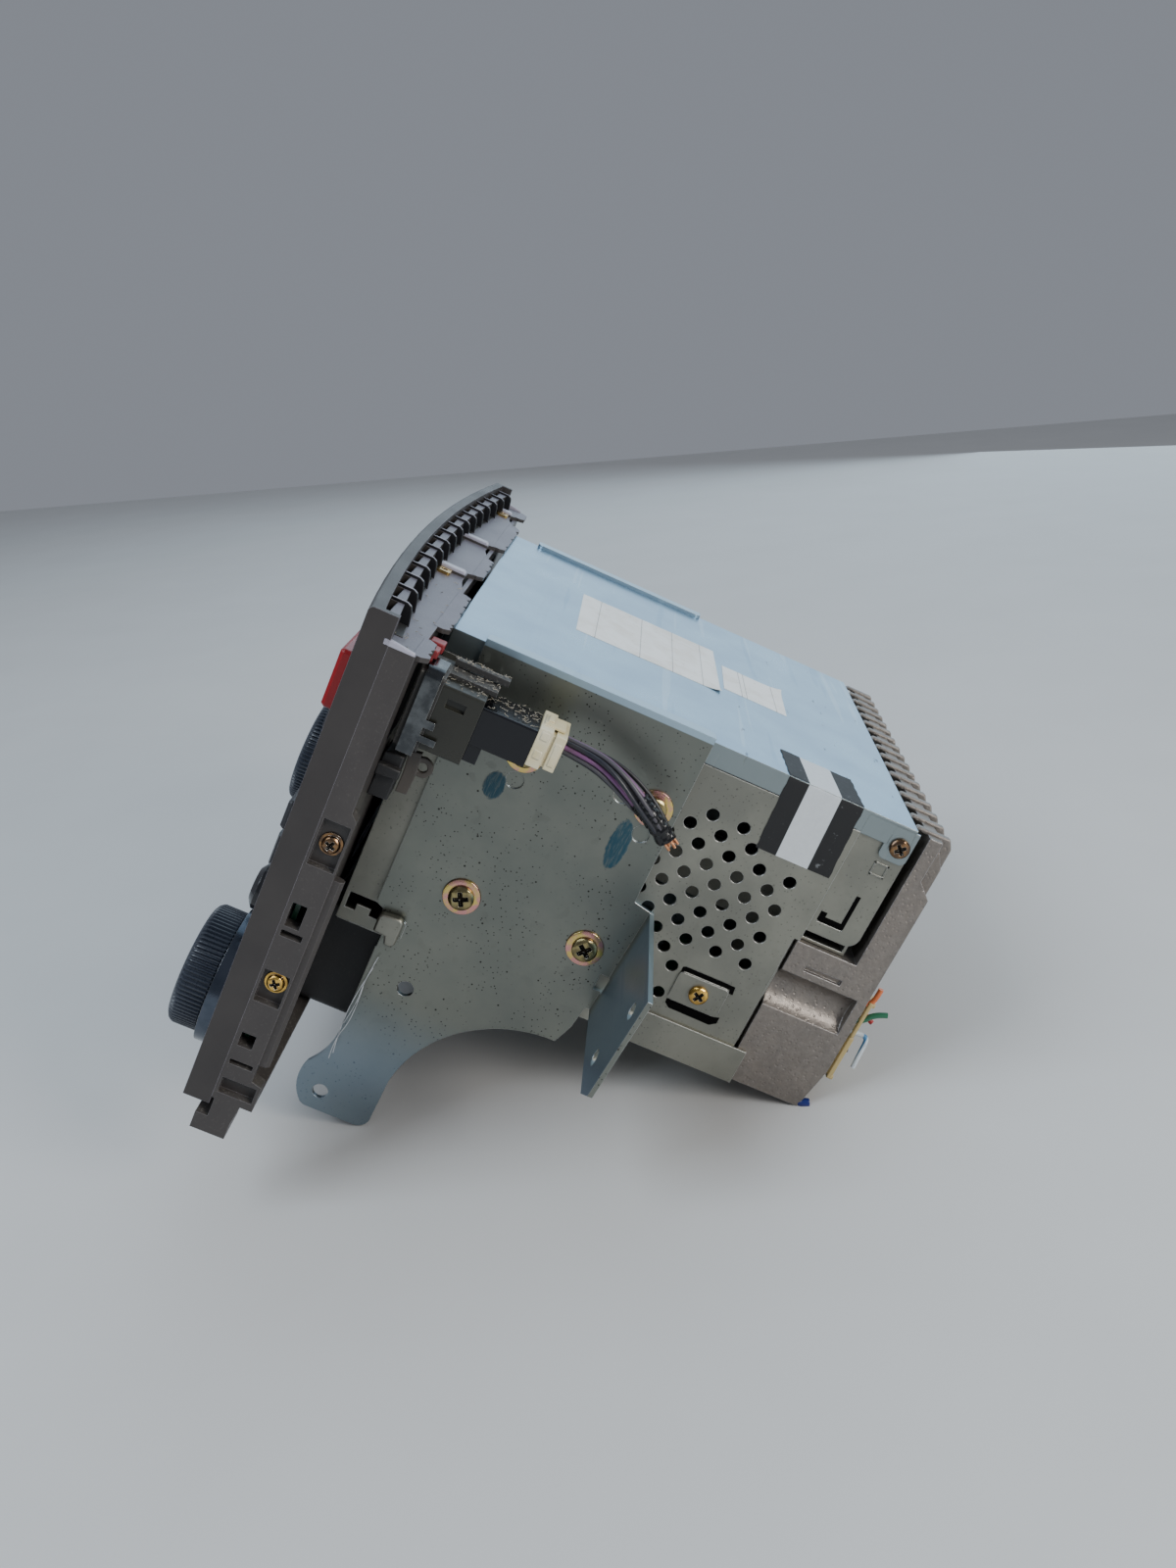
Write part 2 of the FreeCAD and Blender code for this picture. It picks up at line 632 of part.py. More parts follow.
def cover_screws():
    """The screws of the lid's rear tabs and of the side panels' bridges."""
    body = new_body("cover_screws")
    for side in (1, -1):
        tab_face = (case_half - recess + sheet_metal) * side
        bridge_face = (case_half + 0.8) * side
        for face, y, z in ((tab_face, tab_screw_y, tab_screw_z), (bridge_face, bridge_y, -bridge_low)):
            head = sketch_on(body, "YZ_Plane", face)
            circle(head, y, z, 3.4)
            pad(body, head, 1.8, side < 0, 22)
            shank = sketch_on(body, "YZ_Plane", face)
            circle(shank, y, z, screw_shank - 0.2)
            pad(body, shank, 1.9, side > 0)


def rear_heatsink():
    """Die casting: a hollow lower block, an upper plate with fins, and an arm at each side."""
    body = new_body("rear_heatsink")
    base = floor_low
    fin_root = plate_front + 4.5
    block = sketch_on(body, "YZ_Plane", -case_half)
    outline(block, [
        (cast_front, base), (cast_rear - 1.7, base), (cast_rear + 1.3, base + 16),
        (cast_rear + 1.3, -5), (fin_root, -5), (fin_root, case_high - 0.5),
        (plate_front, case_high - 0.5), (plate_front, cast_top), (cast_front, cast_top)])
    pad(body, block, case_half * 2)
    hollow = sketch_on(body, "XZ_Plane", cast_front - 1)
    rectangle(hollow, 7 - case_half, base + 4, case_half - 7, cast_top - 3.5)
    cut(body, hollow, 22)
    for side in (1, -1):
        arm = sketch_on(body, "YZ_Plane", case_half * side)
        outline(arm, [
            (plate_front, -5), (cast_rear + 1.3, -5), (cast_rear + 1.3, 34),
            (cast_rear - 4, 39), (plate_front, 39)])
        pad(body, arm, 5, side > 0)
        valley = sketch_on(body, "XZ_Plane", cast_front - 1)
        circle(valley, (case_half + valley_radius * 0.45) * side, -15, valley_radius)
        cut(body, valley, 29)
        slot = sketch_on(body, "YZ_Plane", (case_half + 1) * side)
        rectangle(slot, cast_front + 6.6, -5.4, cast_front + 20, -3.4)
        cut(body, slot, 2.5, side < 0)
    fin = sketch_on(body, "YZ_Plane", -fin_pitch * (fin_count - 1) / 2 - fin_thick / 2)
    outline(fin, [
        (fin_root - 0.5, -5), (cast_rear + 1.3, -5), (cast_rear + 1.3, 44),
        (fin_root - 0.5, case_high - 0.5)])
    first = pad(body, fin, fin_thick)
    repeat(body, first, "YZ_Plane", fin_count, fin_pitch * (fin_count - 1))
    socket = sketch_on(body, "XZ_Plane", cast_rear + 2)
    rectangle(socket, case_half - 30, -43, case_half - 6.5, -9)
    cut(body, socket, 8, True)


def rear_connector():
    """Cream housing in the casting, with the other half of the plug still in it."""
    body = new_body("rear_connector")
    shell = sketch_on(body, "XZ_Plane", cast_rear - 6)
    rounded(shell, case_half - 18.2, -26, 22.6, 33, 1)
    pad(body, shell, 8.5, True)
    plug = sketch_on(body, "XZ_Plane", cast_rear + 2.5)
    rounded(plug, case_half - 18.2, -26, 18, 30, 1)
    pad(body, plug, 3, True)
    ways = sketch_on(body, "XZ_Plane", cast_rear + 5.6)
    for row in range(5):
        for column in (-1, 1):
            circle(ways, case_half - 18.2 + column * 4, -26 + (row - 2) * 5.4, 1.1)
    cut(body, ways, 2, True)


# Fascia: bowed moulding, the frame behind it, and what is fixed to them
face_end = face_bow - face_ahead
ring_radius = knob_radius + ring_wide
bezel_radius = dial_radius + ring_wide + 1.7

# Each button: name, distance from the centre line, height, width, height of its cap
buttons = [
    ("hazard_button", switch_side, switch_level, 26, 18.5),
    ("clock_button", -switch_side, switch_level, 26, 18.5),
    ("eject_button", 85, disc_level, 22, 10),
    ("load_button", -85, disc_level, 22, 10),
    ("climate_button_1", -48, -93, 28, 9),
    ("climate_button_2", -16, -93, 28, 9),
    ("climate_button_3", 16, -93, 28, 9),
    ("climate_button_4", 48, -93, 28, 9)]
for number in range(6):
    buttons.append((f"preset_button_{number + 1}", (-104, -77, -50, 50, 77, 104)[number], -13, 24, 10))
rockers = [("seek_rocker", 72, -36, 48, 11), ("source_rocker", -72, -36, 48, 11)]
face_screw_levels = (-6.4, -55.6)
face_screw_y = -6.3
rocker_axis = -19
rail_places = [(31, 19.2), (-30.5, 19.2), (-114, 13.8)]
round_buttons = [("round_button_right", 119, -36.5), ("round_button_left", -119, -36.5)]


def front_panel():
    """Bowed front with side bands and a top lip, opened for every control."""
    body = new_body("front_panel")
    inner = face_half - face_wall
    curve = (face_half * face_half + face_bow * face_bow) / (2 * face_bow)
    back = -band_deep
    shell = sketch_on(body, "XY_Plane", -face_low)
    outline(shell, [
        (face_half, back), (inner, back), (inner, face_end + face_wall), Arc(curve, 1),
        (-inner, face_end + face_wall), (-inner, back), (-face_half, back), (-face_half, face_end),
        Arc(curve, -1), (face_half, face_end)])
    pad(body, shell, face_low + face_top)
    lip = sketch_on(body, "XY_Plane", face_top - face_wall)
    outline(lip, [
        (face_half, face_end + lip_deep), Arc(curve, 1), (-face_half, face_end + lip_deep),
        (-face_half, face_end), Arc(curve, -1), (face_half, face_end)])
    pad(body, lip, face_wall)
    sill = sketch_on(body, "XY_Plane", -face_low)
    outline(sill, bowed(face_half, face_ahead, back))
    pad(body, sill, face_wall)
    top = face_top.number
    round_edges(body, edge_round, lambda edge: edge.Length > 200 and edge.BoundBox.ZMin > top - 0.01
                and edge.BoundBox.YMin < -face_ahead.number + 0.5)
    windows = sketch_on(body, "XZ_Plane", -face_ahead - 1)
    rounded(windows, 0, lens_level, lens_wide, lens_high, 0.3)
    rounded(windows, 0, disc_level, slot_half * 2 + 10, slot_high + 8, 3)
    rounded(windows, 0, -panel_low, panel_wide, panel_high, 0.3)
    circle(windows, 0, -dial_low, bezel_radius)
    for side in (1, -1):
        circle(windows, knob_side * side, -knob_low, ring_radius)
    for name, x, z in round_buttons:
        circle(windows, x, z, round_radius + press_gap)
    cut(body, windows, face_ahead - 6)
    keys = buttons + rockers
    for group in (keys[::2], keys[1::2]):
        holes = sketch_on(body, "XZ_Plane", -face_ahead - 1)
        for name, x, z, wide, high in group:
            rounded(holes, x, z, wide + press_gap * 2, high + press_gap * 2, 1.4)
        cut(body, holes, face_ahead - 6)


def rear_frame():
    """Frame behind the fascia: stepped side walls, tabbed top, comb, hooks and a back plate."""
    body = new_body("rear_frame")
    band = -band_deep
    low = -face_low
    inside = face_half - frame_wall
    curve = (face_half * face_half + face_bow * face_bow) / (2 * face_bow)
    comb_front = face_end + face_wall + 0.1
    comb_rear = face_end + face_wall + 5.5
    comb_root = tab_top - 5
    within = face_half - face_wall - 0.1
    comb = sketch_on(body, "XY_Plane", comb_root)
    outline(comb, [
        (within, comb_front), (within, comb_rear), Arc(curve, 1), (-within, comb_rear),
        (-within, comb_front), Arc(curve, -1)])
    pad(body, comb, comb_top - comb_root - 0.7)
    for side in (1, -1):
        for start, deep in ((face_half, wall_pocket), (face_half - wall_pocket, frame_wall - wall_pocket)):
            wall = sketch_on(body, "YZ_Plane", start * side)
            outline(wall, [
                (band, low + face_wall), (1.7, low + face_wall), (1.7, -91), (-1.8, -90), (-1.8, 4),
                (-frame_rear, 6), (-frame_rear, tab_top), (band, tab_top)])
            rectangle(wall, -10.1, -35.2, -5.6, -27)
            rectangle(wall, -10, -79.4, -5.4, -74.4)
            if start is face_half:
                rectangle(wall, -10.6, -13.8, -2.5, 1.6)
                rectangle(wall, -10.6, -62.6, -2.5, -51)
                rectangle(wall, -10.3, -38.8, -3.7, -36.6)
                rectangle(wall, -10.4, -86.6, -3, -84.8)
                rectangle(wall, -10.4, -97.8, 0.6, -92)
            else:
                for z in face_screw_levels:
                    circle(wall, face_screw_y, z, 1.3)
            pad(body, wall, deep, side > 0)
    roof = sketch_on(body, "XY_Plane", tab_top - tab_thick)
    back = -frame_rear
    front = face_end + face_wall + 4.5
    outline(roof, [
        (within, front), (within, band), (face_half, band), (face_half, back), (52, back), (35, back - 2.6), (22, back - 2.6),
        (20, back), (-14, back), (-26, back - 2.6), (-38, back - 2.6), (-40, back), (-98, back),
        (-109, back - 2.6), (-119, back - 2.6), (-121, back), (-face_half, back),
        (-face_half, band), (-within, band), (-within, front), Arc(curve, -1)])
    pad(body, roof, tab_thick)
    rails = sketch_on(body, "XY_Plane", tab_top - 0.5)
    for x, ahead in rail_places:
        rectangle(rails, x - 3, -ahead, x, back - 2.6)
    pad(body, rails, 1.5)
    sill = sketch_on(body, "XY_Plane", face_wall - face_low)
    rectangle(sill, -face_half, band, face_half, 1.7)
    pad(body, sill, 2.4)
    plate = sketch_on(body, "XZ_Plane", back)
    rectangle(plate, -inside, low + face_wall + 2, inside, tab_top - tab_thick)
    rectangle(plate, -slot_half - 6, -46, slot_half + 6, 48)
    rectangle(plate, switch_side - 11, switch_level - 12.5, switch_side + 11, switch_level + 12.5)
    rectangle(plate, -60, -96, 60, -62)
    pad(body, plate, plate_thick)
    beads = sketch_on(body, "XY_Plane", -84)
    for side in (1, -1):
        outer = (face_half - 0.9) * side
        inner = (face_half - 4.1) * side
        outline(beads, [
            (inner, -2.5), (outer, -2.5), (outer, 0.3), (outer - 0.9 * side, 1.4),
            (inner + 0.9 * side, 1.4), (inner, 0.3)])
    pad(body, beads, 68)
    for side in (1, -1):
        hook = sketch_on(body, "YZ_Plane", face_half * side)
        outline(hook, [
            (-10.5, low + face_wall + 1), (-10.5, -hook_low + 6), (-14.5, -hook_low + 6),
            (-14.5, -hook_low), (-3.2, -hook_low), (-3.2, -hook_low + 6), (-2, low + face_wall + 1)])
        pad(body, hook, 14, side > 0)
    gaps = sketch_on(body, "XY_Plane", comb_top + 1)
    for index in range(16):
        left = comb_pitch * (index - 8) + comb_rib / 2
        right = left + comb_pitch - comb_rib
        rectangle(gaps, left, -face_ahead - 1, right, face_wall + 3.1 - face_front(left + comb_pitch / 2))
    cut(body, gaps, comb_top + 2 - comb_root)


def face_screws():
    """Two flanged screws in the pockets of each side wall."""
    body = new_body("face_screws")
    for side in (1, -1):
        floor = (face_half - wall_pocket) * side
        head = sketch_on(body, "YZ_Plane", floor)
        shank = sketch_on(body, "YZ_Plane", floor)
        for z in face_screw_levels:
            circle(head, face_screw_y, z, head_radius - 0.7)
            circle(shank, face_screw_y, z, 1.2)
        pad(body, head, 2.2, side < 0, 16)
        pad(body, shank, 1.4, side > 0)


def insert_clips():
    """Brass nuts pressed into two of the top rails."""
    body = new_body("insert_clips")
    for x, y in ((34.2, -13.5), (-110.8, -10)):
        clip = sketch_on(body, "XY_Plane", tab_top)
        rounded(clip, x, y, 6, 5, 1)
        circle(clip, x, y, 1.2)
        pad(body, clip, 1.1)


def window(label, z, wide, high):
    """A clear window that follows the bow of the fascia."""
    body = new_body(label)
    half = size_of(wide) / 2
    ahead = face_front(half)
    rise = face_front(0) - ahead
    curve = (half * half + rise * rise) / (2 * rise)
    pane = sketch_on(body, "XY_Plane", z - high / 2)
    outline(pane, [
        (half, 0.5 - ahead), (half, 2.5 - ahead), Arc(curve, 1), (-half, 2.5 - ahead),
        (-half, 0.5 - ahead), Arc(curve, -1)])
    pad(body, pane, high)


def display_module(label, z, wide, high):
    """Display glass in its holder, between a window and the control board."""
    body = new_body(label)
    holder = sketch_on(body, "XZ_Plane", -board_front - board_thick)
    rounded(holder, 0, z, wide - 5, high - 2, 1)
    pad(body, holder, 9.5)


def slot_guide():
    """Throat that leads a disc from the fascia to the mechanism."""
    body = new_body("slot_guide")
    throat = sketch_on(body, "XZ_Plane")
    rounded(throat, 0, disc_level, slot_half * 2 + 9.8, slot_high + 7.8, 2.9)
    rounded(throat, 0, disc_level, slot_half * 2, slot_high, 1)
    pad(body, throat, face_front(slot_half + 5) - 0.4)
    mouth = sketch_on(body, "XZ_Plane", -face_ahead)
    rounded(mouth, 0, disc_level, slot_half * 2 + 3, slot_high + 2.4, 1.6)
    cut(body, mouth, 4.2)


def slot_flap():
    """Dust flap that hangs inside the slot and swings inwards."""
    body = new_body("slot_flap")
    hinge_y = -12
    pin = 0.4
    top = disc_level + slot_high / 2 - shaft_gap - pin
    plate = sketch_on(body, "YZ_Plane", 0.4 - slot_half)
    outline(plate, [
        (hinge_y - pin, top - slot_high + 3 * shaft_gap), (hinge_y + pin, top - slot_high + 3 * shaft_gap),
        (hinge_y + pin, top), (hinge_y - pin, top)])
    pad(body, plate, slot_half * 2 - 0.8)
    rod = sketch_on(body, "YZ_Plane", 0.4 - slot_half)
    circle(rod, hinge_y, top, pin)
    pad(body, rod, slot_half * 2 - 0.8)


def silver_trim():
    """Bright seats round the climate knobs and the volume knob."""
    body = new_body("silver_trim")
    places = [(knob_side, -knob_low, ring_radius, face_front(knob_side - ring_radius) + 0.5),
              (-knob_side, -knob_low, ring_radius, face_front(knob_side - ring_radius) + 0.5),
              (size_of(0), -dial_low, bezel_radius, face_ahead + 1)]
    for x, z, radius, ahead in places:
        seat = sketch_on(body, "XZ_Plane", -ahead)
        circle(seat, x, z, radius)
        circle(seat, x, z, shaft_radius + shaft_gap)
        pad(body, seat, ahead - board_front - board_thick - 4, True)


def knob(label, x, z, radius, ahead, deep, flutes):
    """A knob of fluted rim on its shaft, in front of its seat."""
    body = new_body(label)
    rear = ahead + press_gap
    skirt = sketch_on(body, "XZ_Plane", -rear)
    circle(skirt, x, z, radius)
    pad(body, skirt, deep - 2)
    crown = sketch_on(body, "XZ_Plane", -rear - deep + 2)
    circle(crown, x, z, radius)
    pad(body, crown, 2, False, 30)
    dish = sketch_on(body, "XZ_Plane", -rear - deep)
    circle(dish, x, z, radius - 4)
    cut(body, dish, 0.8)
    shaft = sketch_on(body, "XZ_Plane", -rear)
    circle(shaft, x, z, shaft_radius)
    pad(body, shaft, rear - board_front + 1, True)
    flute = sketch_on(body, "XZ_Plane", -rear - deep - 1)
    flute.setExpression(".AttachmentOffset.Base.x", size_of(x).formula)
    flute.setExpression(".AttachmentOffset.Base.y", size_of(z).formula)
    circle(flute, radius + 0.35, 0, 0.8)
    first = cut(body, flute, deep - 0.4)
    ring = body.newObject("PartDesign::PolarPattern", "ring")
    ring.Originals = [first]
    ring.Axis = (flute, ["N_Axis"])
    ring.Angle = 360
    ring.Occurrences = flutes
    body.Tip = ring
    doc.recompute()


def push_button(label, x, z, wide, high):
    """A button cap with a flange behind the fascia and a stem to its switch."""
    body = new_body(label)
    x = size_of(x)
    z = size_of(z)
    front = face_front(x) + cap_proud
    if label == "hazard_button":
        front = front + 1
    flange = sketch_on(body, "XZ_Plane", -cap_back)
    rounded(flange, x, z, wide + 1.2, high + 1.2, 1.5)
    pad(body, flange, cap_flange)
    cap = sketch_on(body, "XZ_Plane", -cap_back)
    rounded(cap, x, z, wide, high, 1.2)
    pad(body, cap, front - cap_back - 1)
    crown = sketch_on(body, "XZ_Plane", -front + 1)
    rounded(crown, x, z, wide, high, 1.2)
    pad(body, crown, 1, False, 35)
    stem = sketch_on(body, "XZ_Plane", -cap_back)
    circle(stem, x, z, 2.2)
    pad(body, stem, cap_back - board_front - board_thick - travel - 0.5, True)


def rocker(label, x, z, wide, high):
    """A two way key that tips about an upright axis behind the fascia."""
    body = new_body(label)
    x = size_of(x)
    front = face_front(x) + cap_proud
    cap = sketch_on(body, "XY_Plane", size_of(z) - size_of(high) / 2)
    half = size_of(wide) / 2 - 0.5
    post = -board_front - board_thick - 0.8
    outline(cap, [
        (x + half, 3 - front), (x + 3, 6 - front), (x + 1.5, post), (x - 1.5, post),
        (x - 3, 6 - front), (x - half, 3 - front),
        (x - half, 0.6 - front), (x - half + 2, -front), (x, 0.7 - front), (x + half - 2, -front),
        (x + half, 0.6 - front)])
    pad(body, cap, high)
    pin = sketch_on(body, "XY_Plane", size_of(z) - size_of(high) / 2 - 1.2)
    circle(pin, x, rocker_axis, 2)
    pad(body, pin, high + 2.4)


def round_button(label, x, z):
    """A small domed button."""
    body = new_body(label)
    x = size_of(x)
    z = size_of(z)
    front = face_front(x) + 1
    stem = sketch_on(body, "XZ_Plane", -cap_back)
    circle(stem, x, z, 2.2)
    pad(body, stem, cap_back - board_front - board_thick - travel - 0.5, True)
    cap = sketch_on(body, "XZ_Plane", -cap_back)
    circle(cap, x, z, round_radius)
    pad(body, cap, front - cap_back)
    dome = sketch_on(body, "XZ_Plane", -front)
    circle(dome, x, z, round_radius)
    pad(body, dome, 1.6, False, 55)


def control_board():
    """Board behind the controls, with a rotary encoder for each knob and a switch for each button."""
    body = new_body("control_board")
    plate = sketch_on(body, "XZ_Plane", -board_front)
    edge = face_half - frame_wall - 1
    outline(plate, [
        (-edge, face_wall + 4 - face_low), (edge, face_wall + 4 - face_low),
        (edge, 50), (-edge, 50)])
    pad(body, plate, board_thick)
    parts = sketch_on(body, "XZ_Plane", -board_front - board_thick)
    shafts = [(knob_side, -knob_low), (-knob_side, -knob_low), (size_of(0), -dial_low)]
    for x, z in shafts:
        rounded(parts, x, z, 14, 14, 1)
    pad(body, parts, 3.6)
    switches = sketch_on(body, "XZ_Plane", -board_front - board_thick)
    for name, x, z, *cap in buttons + rockers + round_buttons:
        circle(switches, x, z, 2.5)
    pad(body, switches, 0.4)
    holes = sketch_on(body, "XZ_Plane", -board_front - board_thick - 4)
    for x, z in shafts:
        circle(holes, x, z, shaft_radius + shaft_gap)
    rectangle(holes, -slot_half - 6, disc_level - 8, slot_half + 6, disc_level + 8)
    cut(body, holes, board_thick + 5)


def climate_housing():
    """Black box behind the lower fascia, below the chassis."""
    body = new_body("climate_housing")
    half = 76
    box = sketch_on(body, "XZ_Plane", -frame_rear)
    rounded(box, 0, -76, half * 2, 40, 3)
    pad(body, box, 22, True)
    ribs = sketch_on(body, "XZ_Plane", 22 - frame_rear)
    for x in (-50, -25, 0, 25, 50):
        rectangle(ribs, size_of(x) - 1, -92, size_of(x) + 1, -60)
    pad(body, ribs, 1.5, True)


# Hazard switch and its cut harness
switch_rear = switch_back + switch_deep
socket_rear = switch_rear + 17.2


def switch_housing():
    """Olive box of the hazard switch, with its latch window."""
    body = new_body("switch_housing")
    box = sketch_on(body, "XZ_Plane", switch_back)
    rounded(box, switch_side, switch_level, switch_wide, switch_high, 0.8)
    pad(body, box, switch_deep, True)
    latch = sketch_on(body, "YZ_Plane", switch_side + switch_wide / 2 + 1)
    rectangle(latch, switch_back + 2.5, switch_level + 4.2, switch_back + 8.4, switch_level + 7)
    cut(body, latch, 2.5)


def switch_base():
    """Black front block of the hazard switch, with plates along the housing's top."""
    body = new_body("switch_base")
    front = sketch_on(body, "XZ_Plane", -2)
    rounded(front, switch_side, switch_level, switch_wide + 1, switch_high + 3, 1)
    pad(body, front, switch_back + 2, True)
    for step, long in ((0, 15), (2.2, 17)):
        plate = sketch_on(body, "XY_Plane", switch_level + switch_high / 2 + step)
        rectangle(plate, switch_side - switch_wide / 2 + step, switch_back,
                  switch_side + 2 - step * 3, switch_back + long)
        pad(body, plate, 1.4 + step * 0.2)
    post = sketch_on(body, "XY_Plane", switch_level + switch_high / 2)
    rectangle(post, switch_side - 8, switch_back, switch_side - 5, switch_back + 3)
    pad(body, post, 3)


def switch_socket():
    """Black socket behind the hazard switch."""
    body = new_body("switch_socket")
    socket = sketch_on(body, "XZ_Plane", switch_rear)
    rounded(socket, switch_side, switch_level + 2.2, switch_wide - 3, 12, 0.6)
    pad(body, socket, 17.2, True)
    toe = sketch_on(body, "XZ_Plane", switch_rear)
    rectangle(toe, switch_side - 6, switch_level - 9.5, switch_side + 7, switch_level - 3.6)
    pad(body, toe, 4.2, True)


def switch_clip():
    """Bent steel strip that holds the hazard switch in the frame."""
    body = new_body("switch_clip")
    side = switch_side + switch_wide / 2 + 0.5
    top = switch_level + switch_high / 2 + 1.5
    strip = sketch_on(body, "XZ_Plane", -0.5)
    outline(strip, [
        (side, switch_level - 13), (side + 1, switch_level - 13), (side + 1, top - 1), Arc(3, -1),
        (side - 2, top + 2), (switch_side, top + 2), (switch_side, top + 1), (side - 2, top + 1),
        Arc(2, 1), (side, top - 1)])
    pad(body, strip, 5, True)
    foot = sketch_on(body, "YZ_Plane", side)
    rectangle(foot, 3, switch_level - 8, 9.5, switch_level - 6)
    rectangle(foot, 3, switch_level - 3.4, 7.5, switch_level - 1)
    pad(body, foot, 1)


def harness_plug():
    """Ivory plug in the switch's socket, stepped towards the wires."""
    body = new_body("harness_plug")
    collar = sketch_on(body, "XZ_Plane", socket_rear)
    rounded(collar, switch_side, switch_level + 4.4, switch_wide - 2, 14.4, 1)
    pad(body, collar, plug_deep * 0.55, True)
    grip = sketch_on(body, "XZ_Plane", socket_rear + plug_deep * 0.55)
    rounded(grip, switch_side, switch_level + 3.6, switch_wide - 5, 12.4, 1)
    pad(body, grip, plug_deep * 0.45, True)


def tube(label, route, radius):
    """A round solid along straight runs joined by arcs, with square ends."""
    points = [vec(*point) for point in route]
    edges = []
    start = points[0]
    radii = []
    for before, corner, after in zip(points, points[1:], points[2:]):
        entry = (corner - before).normalize()
        leave = (after - corner).normalize()
        angle = entry.getAngle(leave)
        reach = 0.45 * min((corner - before).Length, (after - corner).Length)
        first = corner - entry * reach
        last = corner + leave * reach
        bend = (leave - entry).normalize()
        radius_here = reach / math.tan(angle / 2)
        centre = corner + bend * math.hypot(radius_here, reach)
        middle = centre - bend * radius_here
        radii.append(round(radius_here, 1))
        edges.append(Part.LineSegment(start, first).toShape())
        edges.append(Part.Arc(first, middle, last).toShape())
        start = last
    edges.append(Part.LineSegment(start, points[-1]).toShape())
    path = Part.Wire(edges)
    heading = (points[1] - points[0]).normalize()
    profile = Part.Wire([Part.makeCircle(radius, points[0], heading)])
    shape = path.makePipeShell([profile], True, True)
    ratio = shape.Volume / (math.pi * radius ** 2 * path.Length)
    print(label, "bend radii", radii, "length", round(path.Length, 1), "volume ratio", round(ratio, 4))
    return shape


def solid_feature(label, shape):
    item = doc.addObject("Part::Feature", label)
    item.Shape = shape
    item.Label = label
    bodies.append(item)


def hazard_harness():
    """Bundle of wires from the plug, drooping to where tape wraps its cut end."""
    start = (socket_rear + plug_deep).number
    level = (switch_level + 5).number
    side = switch_side.number
    route = [(side, start, level), (side, start + 10, level), (side + 0.8, start + 19, level - 2.5),
             (side + 1, start + 27, level - 6.5)]
    solid_feature("hazard_harness", tube("hazard_harness", route, harness_radius.number))
    wrap = [route[-1], (side + 1.2, start + 34, level - 10), (side + 1, start + 40, level - 14.5)]
    solid_feature("harness_tape", tube("harness_tape", wrap, harness_radius.number + 0.9))


def rear_wires():
    """Three cut wires at the rear connector."""
    back = (cast_rear + 5.5).number
    side = (case_half - 18.2).number
    stubs = []
    for x, z, turn in ((side + 4, -15.2, (2, 4, 8)), (side + 4, -20.6, (7, 4, 3)), (side + 4, -26, (5, 4, -8))):
        route = [(x, back - 1, z), (x, back + 3, z), (x + turn[0], back + 3 + turn[1], z + turn[2])]
        stubs.append(tube("rear_wires", route, 0.9))
    solid_feature("rear_wires", Part.makeCompound(stubs))


def main_board():
    """Board on the floor of the chassis with its larger components."""
    body = new_body("main_board")
    half = deck_half - 9
    level = floor_low + sheet_metal + 5
    plate = sketch_on(body, "XY_Plane", level)
    rectangle(plate, -half, 4, half, cast_front - 4)
    pad(body, plate, board_thick)
    feet = sketch_on(body, "XY_Plane", floor_low + sheet_metal)
    for x in (-half + 6, half - 6):
        for y in (10, 130):
            circle(feet, x, y, 3)
    pad(body, feet, 5)
    tall = sketch_on(body, "XY_Plane", level + board_thick)
    for x, y in ((50, 100), (50, 118), (-52, 110)):
        circle(tall, x, y, 7)
    pad(body, tall, 20)
    low = sketch_on(body, "XY_Plane", level + board_thick)
    rounded(low, -20, 90, 30, 30, 1)
    rounded(low, 25, 60, 18, 12, 1)
    rounded(low, -46, 40, 24, 40, 1)
    rounded(low, 52, 30, 12, 34, 1)
    pad(body, low, 5)
    plugs = sketch_on(body, "XY_Plane", level + board_thick)
    rectangle(plugs, -30, 6, 30, 12)
    pad(body, plugs, 9)


# Disc mechanism on its deck
deck_top = -deck_level + sheet_metal


